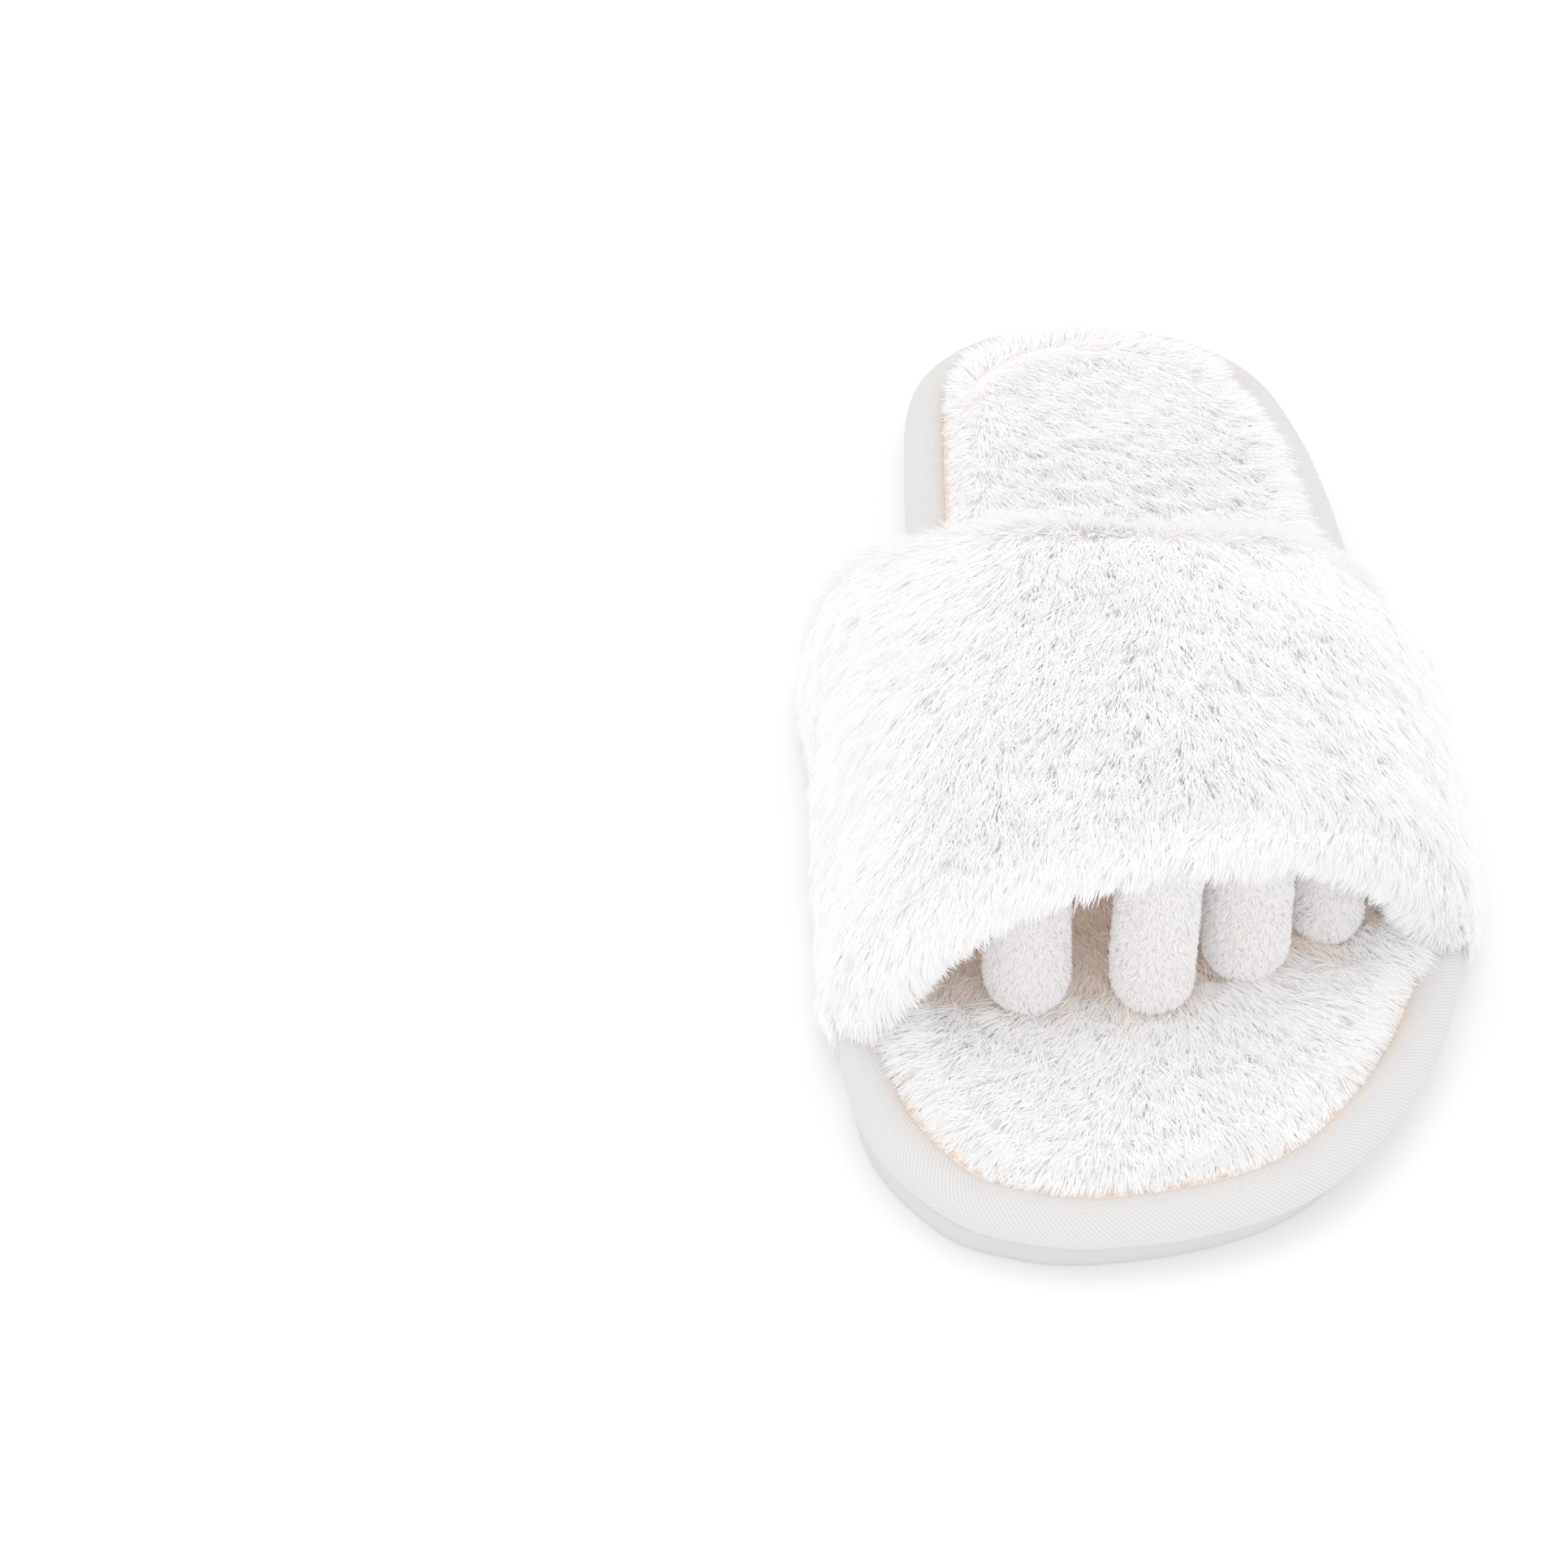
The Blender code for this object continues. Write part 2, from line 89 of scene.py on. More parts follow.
WALL_DEPTH = 13.6 * MM
EDGE_ROLL = 0.07
FUR_RETURN = 0.13
RETURN_PATH = 0.075               # round the front edge, where the pile turns to the inside
PILE_LOWEST_Z = 1.5 * MM          # no pile hangs lower than this beside the sole
BAND_PILE_LENGTH = 7.8 * MM
PILE_DEPTH = 2.0 * MM             # how deep the band's pile is rooted on top of the foot
PILE_DEPTH_LOW = 1.3 * MM         # and at the footbed's rim
LIP_DRAWN_IN = 1.6 * MM           # extra depth under the lip
FLANK_DRAWN_IN = 2.8 * MM         # extra depth along the big toe's side
SHOULDER_RISE = 2.5 * MM          # how far it stands proud at the rear of the other side
CREST_RISE = 2.2 * MM             # and along the rear edge
# How the pile is brushed, in radians from the big toe's side towards the toe.
BRUSHED_ACROSS = (1.75, 1.6, 1.3, 1.0, 0.9)    # from the little toe's flank to the other
BRUSHED_ALONG = (0.0, 0.1, 0.0, -0.2)          # added to it, from the front edge to the rear

SEPARATOR_RADII = np.array((6.1, 5.95, 6.3, 5.2)) * MM  # of the cloth, under its pile
SEPARATOR_SINK = 1.3 * MM         # how far its round end presses into the sock's pile

# Colours, as linear albedo.
# The pile runs from warm roots to slightly cool tips: partly its own tone, partly painted warm
# shade deep in the pile and a painted cool tint on the lit tips.
PILE_WHITE = (0.983, 0.985, 0.999)
PILE_SHADE = (0.985, 0.98, 0.98)
PILE_ROOT = (0.985, 0.955, 0.915)
# Painted shade: warm colours for pile in the shade of the foot cavity; in the lining they are
# partly its own peach tone.
WARM_ROOT = (0.985, 0.79, 0.63)   # pile in the shade of the foot cavity
WARM_SHADE = (0.985, 0.85, 0.73)
WARM_TIP = (0.985, 0.88, 0.78)
FIBRE_COLUMNS = 48                # colour steps from fibre to fibre


# ---------------------------------------------------------------- maths helpers

def smoothstep(low, high, value):
    share = np.clip((value - low) / (high - low), 0, 1)
    return share * share * (3 - 2 * share)


def unit(vectors):
    return vectors / np.maximum(np.linalg.norm(vectors, axis=-1, keepdims=True), 1e-12)


def bezier(controls, share):
    """Value of a Bezier curve with any number of control values at each share."""
    values = [np.full_like(share, c, dtype=float) for c in controls]
    while len(values) > 1:
        values = [a + (b - a) * share for a, b in zip(values, values[1:])]
    return values[0]


def waves(points, wavelength, seed, octaves=3):
    """Smooth pseudo-random field of roughly -1 to 1 at points, from summed plane waves."""
    waves_each = 6
    usual_peak = 4.5
    draw = np.random.default_rng(seed)
    total = np.zeros(points.shape[:-1])
    for octave in range(octaves):
        for _ in range(waves_each):
            direction = unit(draw.normal(size=points.shape[-1]))
            phase = draw.uniform(0, TAU)
            scale = TAU / (wavelength * draw.uniform(0.7, 1.3) / 2 ** octave)
            total += np.sin(points @ direction * scale + phase) / 2 ** octave
    return total / usual_peak


def smooth_path(points, count, closed=True):
    """Points evenly spaced along a Catmull-Rom curve through the given ones."""
    fine = 12
    ends = points if closed else np.vstack([points[:1], points, points[-1:]])
    spans = len(points) if closed else len(points) - 1
    share = np.arange(fine)[:, None] / fine
    runs = []
    for i in range(spans):
        a, b, c, d = (ends[(i + k) % len(ends)] for k in ((-1, 0, 1, 2) if closed else range(4)))
        runs.append(0.5 * (2 * b + (c - a) * share + (2 * a - 5 * b + 4 * c - d) * share ** 2
                           + (3 * b - a - 3 * c + d) * share ** 3))
    dense = np.vstack(runs + [points[:1] if closed else points[-1:]])
    length = np.concatenate([[0], np.cumsum(np.linalg.norm(np.diff(dense, axis=0), axis=1))])
    stations = np.linspace(0, length[-1], count + 1)[:-1] if closed else \
        np.linspace(0, length[-1], count)
    return np.stack([np.interp(stations, length, dense[:, k]) for k in range(dense.shape[1])], -1)


# ---------------------------------------------------------------- mesh helpers

def mesh_from_arrays(name, verts, quads, triangles=None, smooth=True):
    """Object from numpy arrays, with quads first and triangles after them."""
    mesh = bpy.data.meshes.new(name)
    triangles = np.zeros((0, 3), int) if triangles is None else triangles
    mesh.vertices.add(len(verts))
    mesh.vertices.foreach_set("co", np.asarray(verts, np.float32).ravel())
    loops = np.concatenate([quads.ravel(), triangles.ravel()]).astype(np.int32)
    mesh.loops.add(len(loops))
    mesh.loops.foreach_set("vertex_index", loops)
    starts = np.concatenate([np.arange(len(quads)) * 4,
                             len(quads) * 4 + np.arange(len(triangles)) * 3])
    mesh.polygons.add(len(starts))
    mesh.polygons.foreach_set("loop_start", starts.astype(np.int32))
    mesh.update(calc_edges=True)
    if smooth:
        mesh.shade_smooth()
    else:
        mesh.shade_flat()
    obj = bpy.data.objects.new(name, mesh)
    bpy.context.scene.collection.objects.link(obj)
    return obj


def grid_quads(rows, columns, close_rows=False, close_columns=False):
    """Quads of a grid whose vertex (r, c) has the index r * columns + c."""
    r = np.arange(rows if close_rows else rows - 1)
    c = np.arange(columns if close_columns else columns - 1)
    r, c = np.meshgrid(r, c, indexing="ij")
    r2 = (r + 1) % rows
    c2 = (c + 1) % columns
    quads = np.stack([r * columns + c, r * columns + c2, r2 * columns + c2, r2 * columns + c], -1)
    return quads.reshape(-1, 4)


def grid_object(name, points, close_rows=False, close_columns=False, flip=False):
    """Surface through a grid of points with the shape (rows, columns, 3)."""
    quads = grid_quads(*points.shape[:2], close_rows, close_columns)
    if flip:
        quads = quads[:, ::-1]
    return mesh_from_arrays(name, points.reshape(-1, 3), quads)


def set_uv(obj, per_vertex, name):
    """UV layer that gives every face corner the values of its vertex."""
    mesh = obj.data
    layer = mesh.uv_layers.new(name=name)
    corners = np.empty(len(mesh.loops), np.int32)
    mesh.loops.foreach_get("vertex_index", corners)
    layer.data.foreach_set("uv", per_vertex[corners].astype(np.float32).ravel())


def finish_piece(obj, surface, nodes=()):
    """Gives the piece its material and its ride, and hides what it stands for."""
    obj.data.materials.append(surface)
    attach(obj, "root")
    if nodes:
        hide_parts(*nodes)
    return obj


# ---------------------------------------------------------------- materials

def new_material(name, roughness, sheen=0.0):
    """Material and its shader; what is the same all over is set on the shader itself."""
    result = bpy.data.materials.new(name)
    result.use_nodes = True
    shader = result.node_tree.nodes["Principled BSDF"]
    shader.inputs["Roughness"].default_value = roughness
    shader.inputs["Specular IOR Level"].default_value = 0.25
    shader.inputs["Sheen Weight"].default_value = sheen
    shader.inputs["Sheen Roughness"].default_value = 0.6
    return result, result.node_tree, shader


def add_node(tree, kind, settings=None, **inputs):
    """Node with settings, and with inputs that are either values or other nodes' outputs."""
    node = tree.nodes.new(kind)
    for key, value in (settings or {}).items():
        setattr(node, key, value)
    for key, value in inputs.items():
        socket = node.inputs[key.replace("_", " ")]
        if isinstance(value, bpy.types.NodeSocket):
            tree.links.new(value, socket)
        else:
            socket.default_value = value
    return node


def colour_ramp(tree, factor, stops):
    """Ramp over factor through (position, colour) stops."""
    node = add_node(tree, "ShaderNodeValToRGB", Fac=factor)
    ramp = node.color_ramp
    while len(ramp.elements) < len(stops):
        ramp.elements.new(0.5)
    for element, (position, colour) in zip(ramp.elements, stops):
        element.position = position
        element.color = (*colour, 1.0)
    return node.outputs["Color"]


def multiply_colours(tree, first, second):
    node = add_node(tree, "ShaderNodeMix", {"data_type": "RGBA", "blend_type": "MULTIPLY"})
    node.inputs[0].default_value = 1.0
    tree.links.new(first, node.inputs[6])
    tree.links.new(second, node.inputs[7])
    return node.outputs[2]


def maths(tree, operation, first, second):
    node = add_node(tree, "ShaderNodeMath", {"operation": operation})
    for socket, value in zip(node.inputs, (first, second)):
        if isinstance(value, bpy.types.NodeSocket):
            tree.links.new(value, socket)
        else:
            socket.default_value = value
    return node.outputs[0]


def add_bump(tree, shader, height, distance):
    node = add_node(tree, "ShaderNodeBump", Height=height, Distance=distance, Strength=1.0)
    tree.links.new(node.outputs["Normal"], shader.inputs["Normal"])


def object_coordinates(tree):
    return add_node(tree, "ShaderNodeTexCoord").outputs["Object"]


def noise(tree, place, scale, detail=3.0):
    return add_node(tree, "ShaderNodeTexNoise", Vector=place, Scale=scale,
                    Detail=detail).outputs["Fac"]


def fibre_material(name, root, middle, tip):
    """Pile fibres: colour runs from root to tip, and differs a little from fibre to fibre."""
    result, tree, shader = new_material(name, 0.8, 0.25)
    place = add_node(tree, "ShaderNodeUVMap", {"uv_map": "OFBake"}).outputs["UV"]
    along = add_node(tree, "ShaderNodeSeparateXYZ", Vector=place).outputs["Y"]
    colour = colour_ramp(tree, along, [(0.0, root), (0.4, middle), (0.85, tip)])
    shade = colour_ramp(tree, noise(tree, place, 40.0, 0.0),
                        [(0.3, (0.99, 0.985, 0.975)), (0.7, (1.0, 1.0, 1.0))])
    tree.links.new(multiply_colours(tree, colour, shade), shader.inputs["Base Color"])
    return result


def cloth_material(name, low, high, roughness=0.95, fibre_scale=900.0):
    """Brushed backing cloth, mottled between two colours, with a fine fibrous surface."""
    result, tree, shader = new_material(name, roughness, 0.2)
    place = object_coordinates(tree)
    patches = noise(tree, place, 120.0)
    tree.links.new(colour_ramp(tree, patches, [(0.3, low), (0.7, high)]),
                   shader.inputs["Base Color"])
    add_bump(tree, shader, noise(tree, place, fibre_scale, 4.0), 0.4 * MM)
    return result


def twill_material():
    """Off-white twill tape: diagonal ribs over crossing threads, with painted shade darker in the
    weave's hollows and warmer towards the seam groove.
    """
    result, tree, shader = new_material("twill_tape", 0.9, 0.15)
    place = add_node(tree, "ShaderNodeUVMap", {"uv_map": "weave"}).outputs["UV"]
    parts = add_node(tree, "ShaderNodeSeparateXYZ", Vector=place)
    along = parts.outputs["X"]
    across = parts.outputs["Y"]
    rib = maths(tree, "SINE", maths(tree, "MULTIPLY", maths(tree, "ADD", along, across),
                                    TAU / 0.9), 0.0)
    thread = maths(tree, "SINE", maths(tree, "MULTIPLY", maths(tree, "SUBTRACT", along, across),
                                       TAU / 0.62), 0.0)
    height = maths(tree, "ADD", maths(tree, "MULTIPLY", rib, 0.34),
                   maths(tree, "MULTIPLY", thread, 0.2))
    height = maths(tree, "ADD", height, 0.5)
    fuzz = noise(tree, place, 3.0, 4.0)
    # Painted shade: the tape is darker where the weave's height is low.
    colour = colour_ramp(tree, height, [(0.1, (0.56, 0.55, 0.545)), (0.75, (0.73, 0.727, 0.732))])
    mottle = colour_ramp(tree, fuzz, [(0.3, (0.95, 0.94, 0.93)), (0.7, (1.0, 1.0, 1.0))])
    seam = add_node(tree, "ShaderNodeAttribute", {"attribute_name": "near_seam"}).outputs["Fac"]
    # Painted shade: warmer towards the seam groove.
    groove_shade_colour = colour_ramp(tree, seam, [(0.0, (1.0, 1.0, 1.0)), (0.6, (1.0, 0.95, 0.90)),
                                     (1.0, (1.0, 0.80, 0.64))])
    colour = multiply_colours(tree, multiply_colours(tree, colour, mottle), groove_shade_colour)
    tree.links.new(colour, shader.inputs["Base Color"])
    add_bump(tree, shader, maths(tree, "ADD", height, maths(tree, "MULTIPLY", fuzz, 0.5)),
             0.16 * MM)
    return result


def outsole_material():
    """Matte moulded foam rubber with a faint mottle and a fine orange-peel skin."""
    result, tree, shader = new_material("outsole_foam_rubber", 0.55)
    place = object_coordinates(tree)
    mottle = noise(tree, place, 60.0)
    tree.links.new(colour_ramp(tree, mottle, [(0.3, (0.53, 0.52, 0.505)),
                                              (0.7, (0.57, 0.56, 0.545))]),
                   shader.inputs["Base Color"])
    skin = noise(tree, place, 1400.0, 2.0)
    tree.links.new(colour_ramp(tree, mottle, [(0.2, (0.5, 0.5, 0.5)), (0.8, (0.64, 0.64, 0.64))]),
                   shader.inputs["Roughness"])
    add_bump(tree, shader, skin, 0.08 * MM)
    return result


def thread_material(name, low, high):
    """Twisted sewing thread, with painted shade between its strands."""
    result, tree, shader = new_material(name, 0.7, 0.2)
    place = object_coordinates(tree)
    bands = {"wave_type": "BANDS", "bands_direction": "DIAGONAL"}
    twist = add_node(tree, "ShaderNodeTexWave", bands, Vector=place, Scale=900.0,
                     Distortion=1.5).outputs["Fac"]
    # Painted shade: darker between the strands.
    tree.links.new(colour_ramp(tree, twist, [(0.2, low), (0.8, high)]),
                   shader.inputs["Base Color"])
    add_bump(tree, shader, twist, 0.1 * MM)
    return result


# ---------------------------------------------------------------- footbed outline

def spine_point(y):
    """The footbed's middle line beside each y."""
    x = np.interp(y, np.array((-82, -20, 40, 92)) * MM, np.array((0, 0, 1, -0.5)) * MM)
    return np.stack([x, np.clip(y, *SPINE_Y)], -1)


def read_rim():
    """The rim's widest line, in order, read from the outward face of the CAD binding."""
    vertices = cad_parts["edge_binding"].data.vertices
    points = np.array([v.co[:] for v in vertices])
    normals = np.array([v.normal[:] for v in vertices])
    away = points[:, :2] - spine_point(points[:, 1])
    outward = (away * normals[:, :2]).sum(1) > 0
    level = points[outward & (np.abs(points[:, 2] - RIM_WIDEST_Z) < 0.05 * MM)][:, :2]
    level = np.unique(np.round(level, 6), axis=0)
    level = level[np.argsort(np.arctan2(level[:, 1], level[:, 0]))]
    return smooth_path(level, RIM_COUNT)


RIM = read_rim()
RIM_ALONG = unit(np.roll(RIM, -3, 0) - np.roll(RIM, 3, 0))
RIM_INWARD = np.stack([-RIM_ALONG[:, 1], RIM_ALONG[:, 0]], -1)
RIM_LENGTH = np.linalg.norm(np.roll(RIM, -1, 0) - RIM, axis=1).sum()
RIM_SPINE = spine_point(RIM[:, 1])


def inset(distance):
    """Loop at distance (a number, or one for each station) inside the rim."""
    return RIM + RIM_INWARD * np.reshape(distance, (-1, 1))


def rim_distance(points):
    """How far inside the rim each (x, y) lies; negative outside, and the nearest station."""
    chunk = 20000
    result = np.empty(len(points))
    nearest = np.empty(len(points), int)
    for low in range(0, len(points), chunk):
        part = points[low:low + chunk]
        gap = part[:, None, :] - RIM[None]
        which = (gap ** 2).sum(2).argmin(1)
        result[low:low + chunk] = (gap[np.arange(len(part)), which] * RIM_INWARD[which]).sum(1)
        nearest[low:low + chunk] = which
    return result, nearest


def towards_spine(loop, share):
    """Loop moved a share of the way to the footbed's middle line."""
    return loop + (RIM_SPINE - loop) * share


# ---------------------------------------------------------------- sole

def tread_height(points):
    """Height of the sole's underside: flat, with straight grooves across it."""
    row = np.abs(points[:, 1:2] - TREAD_ROWS_Y[None]).min(1)
    groove = 1 - smoothstep(0.35 * TREAD_WIDTH, 0.5 * TREAD_WIDTH, row)
    within = 1 - smoothstep(26 * MM, 28 * MM, np.abs(points[:, 0] + 2 * MM))
    return groove * within * TREAD_DEPTH


def make_outsole():
    shift = np.array((OUTSOLE_SHIFT_X, 0))
    rings = []
    for share in np.linspace(1.0, 0.02, 60):
        loop = towards_spine(inset(4.0 * MM), share) + shift
        rings.append(np.column_stack([loop, tread_height(loop)]))
    wall = ((3.75, 0.0), (3.3, 0.2), (3.02, 0.65), (2.9, 1.6), (2.86, 2.7), (2.9, 3.6),
            (3.05, 4.15), (3.35, 4.42), (3.9, 4.5), (8, 4.5), (14, 4.5))
    for reach, z in wall:
        loop = inset(reach * MM) + shift
        rings.append(np.column_stack([loop, np.full(RIM_COUNT, z * MM)]))
    rings.append(np.column_stack([towards_spine(inset(14 * MM), 1.0) + shift,
                                  np.full(RIM_COUNT, OUTSOLE_TOP)]))
    points = np.array(rings)
    sole = grid_object("moulded_outsole", points, close_columns=True)
    return finish_piece(sole, outsole_material(), ["outsole"])


def make_binding():
    """Twill tape wrapped over the rim, gathered a little where it is sewn down."""
    outer = np.array(((9.0, 4.9), (5.0, 4.85), (2.6, 4.8), (1.1, 5.3), (0.25, 6.5), (0, 7.9),
                      (0.35, 9.3), (1.5, 10.6), (3.4, 11.4), (5.4, 11.4), (6.8, 10.9),
                      (7.45, 10.2), (7.5, 9.6))) * MM
    outer = smooth_path(outer, 40, closed=False)
    under = slice(0, 14)
    hem = slice(30, None)
    inner = outer + np.array((0.55, -0.25)) * MM
    inner[under, 1] = outer[under, 1] + 0.7 * MM
    inner[hem, 0] = outer[hem, 0] - 0.5 * MM
    profile = np.vstack([outer, inner[::-1]])
    steps = np.linalg.norm(np.diff(profile, axis=0, append=profile[:1]), axis=1)
    across = np.concatenate([[0], np.cumsum(steps)[:-1]])
    station = np.arange(BINDING_STATIONS) / BINDING_STATIONS
    rim = smooth_path(RIM, BINDING_STATIONS)
    along = unit(np.roll(rim, -4, 0) - np.roll(rim, 4, 0))
    inward = np.stack([-along[:, 1], along[:, 0]], -1)
    points = []
    for reach, z in profile:
        loop = rim + inward * reach
        points.append(np.column_stack([loop, np.full(len(rim), z)]))
    points = np.swapaxes(np.array(points), 0, 1)
    count = len(profile)
    near_seam = smoothstep(3.5 * MM, 7.0 * MM, profile[:, 0]) * (profile[:, 1] > 8 * MM)
    turn = station * RIM_LENGTH
    line = np.stack([turn, np.zeros_like(turn)], -1)
    gathers = waves(line, 2.6 * MM, 11, 2)[:, None] * (0.03 + 0.17 * near_seam)[None] * MM
    bumps = waves(points, 18 * MM, 12, 2) * 0.15 * MM
    points[..., 2] += (gathers + bumps) * (profile[:, 1] > 5.2 * MM)[None]
    binding = grid_object("twill_edge_binding", points, close_rows=True, close_columns=True)
    weave = np.stack([np.repeat(turn / MM, count), np.tile(across / MM, len(rim))], -1)
    set_uv(binding, weave, "weave")
    # Share of painted seam-groove shade on the tape, growing towards the seam.
    groove_shade_share = smoothstep(2.6 * MM, 7.6 * MM, profile[:, 0]) * (profile[:, 1] > 8 * MM)
    groove_shade_layer = binding.data.attributes.new("near_seam", "FLOAT", "POINT")
    groove_shade_layer.data.foreach_set("value", np.tile(groove_shade_share, len(rim)).astype(np.float32))
    finish_piece(binding, twill_material(), ["edge_binding"])
    return binding


def make_seam():
    """Tan thread stitched through the groove between the binding and the sock."""
    surface = thread_material("tan_thread", (0.74, 0.50, 0.35), (0.90, 0.72, 0.57))
    count = int(RIM_LENGTH / STITCH_PITCH)
    middle = np.column_stack([inset(SEAM_IN + 0.75 * MM), np.full(RIM_COUNT, SEAM_Z - 0.1 * MM)])
    path = smooth_path(middle, count * STITCH_POINTS)
    along = unit(np.roll(path, -1, 0) - np.roll(path, 1, 0))
    side = unit(np.cross(along, (0, 0, 1)))
    sides = 7
    turn = TAU * np.arange(sides) / sides
    verts = []
    quads = []
    reach = np.array((0.4, 0.85, 1.0, 1.0, 0.85, 0.4)) * 0.36 * MM
    lift = np.array((-0.2, 0.02, 0.1, 0.1, 0.02, -0.2)) * MM
    for stitch in range(count):
        which = (stitch * STITCH_POINTS + np.arange(STITCH_POINTS)) % len(path)
        centre = path[which] + np.array((0, 0, 1)) * lift[:, None]
        ring = centre[:, None] + reach[:, None, None] * (
            side[which][:, None] * np.cos(turn)[None, :, None]
            + np.array((0, 0, 1)) * np.sin(turn)[None, :, None])
        quads.append(grid_quads(STITCH_POINTS, sides, close_columns=True)
                     + len(verts) * STITCH_POINTS * sides)
        verts.append(ring.reshape(-1, 3))
    stitches = mesh_from_arrays("rim_seam_stitches", np.vstack(verts), np.vstack(quads))
    finish_piece(stitches, surface, ["binding_seam_thread"])

    strip = []
    for reach, z in ((7.2, 9.8), (7.6, 10.3), (8.4, 10.6), (9.2, 10.7), (10.5, 10.7), (12, 10.0)):
        strip.append(np.column_stack([inset(reach * MM), np.full(RIM_COUNT, z * MM)]))
    edge = grid_object("sock_backing_edge", np.array(strip), close_columns=True, flip=True)
    finish_piece(edge, cloth_material("tan_backing", (0.86, 0.64, 0.48), (0.93, 0.77, 0.64)))


# ---------------------------------------------------------------- pile

def scatter(surface_at, ranges, density, draw, weight=None):
    """Random parameters (a, b), spread evenly over a surface by area, density per m2."""
    cells = 90
    a = np.linspace(*ranges[0], cells + 1)
    b = np.linspace(*ranges[1], cells + 1)
    corner_a, corner_b = np.meshgrid(a, b, indexing="ij")
    grid = surface_at(corner_a.ravel(), corner_b.ravel()).reshape(cells + 1, cells + 1, 3)
    step_a = grid[1:, :-1] - grid[:-1, :-1]
    step_b = grid[:-1, 1:] - grid[:-1, :-1]
    area = np.linalg.norm(np.cross(step_a, step_b), axis=2)
    if weight is not None:
        middle_a = (a[:-1] + a[1:]) / 2
        middle_b = (b[:-1] + b[1:]) / 2
        area = area * weight(*np.meshgrid(middle_a, middle_b, indexing="ij"))
    count = int(area.sum() * density)
    cell = draw.choice(area.size, count, p=(area / area.sum()).ravel())
    row, column = np.unravel_index(cell, area.shape)
    return (a[row] + draw.random(count) * (a[1] - a[0]),
            b[column] + draw.random(count) * (b[1] - b[0]))


def nearest_index(points, centres):
    tree = KDTree(len(centres))
    for i, centre in enumerate(centres):
        tree.insert(centre, i)
    tree.balance()
    return np.array([tree.find(p)[1] for p in points])


def fibre_ends(root, normal, comb, length, lean_low, lean_high):
    """Middle and tip of fibres that lean over towards comb more and more."""
    half = length[:, None] / 2
    low = lean_low[:, None]
    high = lean_high[:, None]
    middle = root + half * (np.cos(low) * normal + np.sin(low) * comb)
    tip = middle + half * (np.cos(high) * normal + np.sin(high) * comb)
    return middle, tip


def turned(comb, normal, angle):
    """Comb directions turned about the normal."""
    angle = angle[:, None]
    return np.cos(angle) * comb + np.sin(angle) * np.cross(normal, comb)


def fibres_mesh(name, root, middle, tip, side, width, draw):
    """Closed spindle-shaped fibres, flat towards the outside, with a UV from root to tip."""
    count = len(root)
    direction = unit(tip - root)
    side = unit(side - (side * direction).sum(1, keepdims=True) * direction)
    outward = np.cross(side, direction)
    roll = draw.normal(0, 0.35, count)[:, None, None]
    side, outward = (np.cos(roll) * side[:, None] + np.sin(roll) * outward[:, None],
                     np.cos(roll) * outward[:, None] - np.sin(roll) * side[:, None])
    half = (width / 2)[:, None, None]
    across = np.array((-1.0, 1.0, 0.0))[None, :, None]
    up = np.array((0.25, 0.25, -0.6))[None, :, None]
    ring = middle[:, None] + (side * across + outward * up) * half
    verts = np.concatenate([root[:, None], ring, tip[:, None]], axis=1)
    base = np.arange(count)[:, None] * 5
    faces = []
    for k in range(3):
        here = 1 + k
        following = 1 + (k + 1) % 3
        faces.append(base + np.array((0, following, here)))
        faces.append(base + np.array((4, here, following)))
    obj = mesh_from_arrays(name, verts.reshape(-1, 3), np.zeros((0, 4), int),
                           np.stack(faces, 1).reshape(-1, 3), smooth=False)
    start = draw.integers(0, FIBRE_COLUMNS, count)[:, None]
    u = (start + np.array((0.5, 0.0, 0.5, 1.0, 0.5))[None]) / FIBRE_COLUMNS
    v = np.tile(np.array((0.0, 0.5, 0.5, 0.5, 1.0)), (count, 1))
    set_uv(obj, np.stack([u, v], -1).reshape(-1, 2), "OFBake")
    return obj


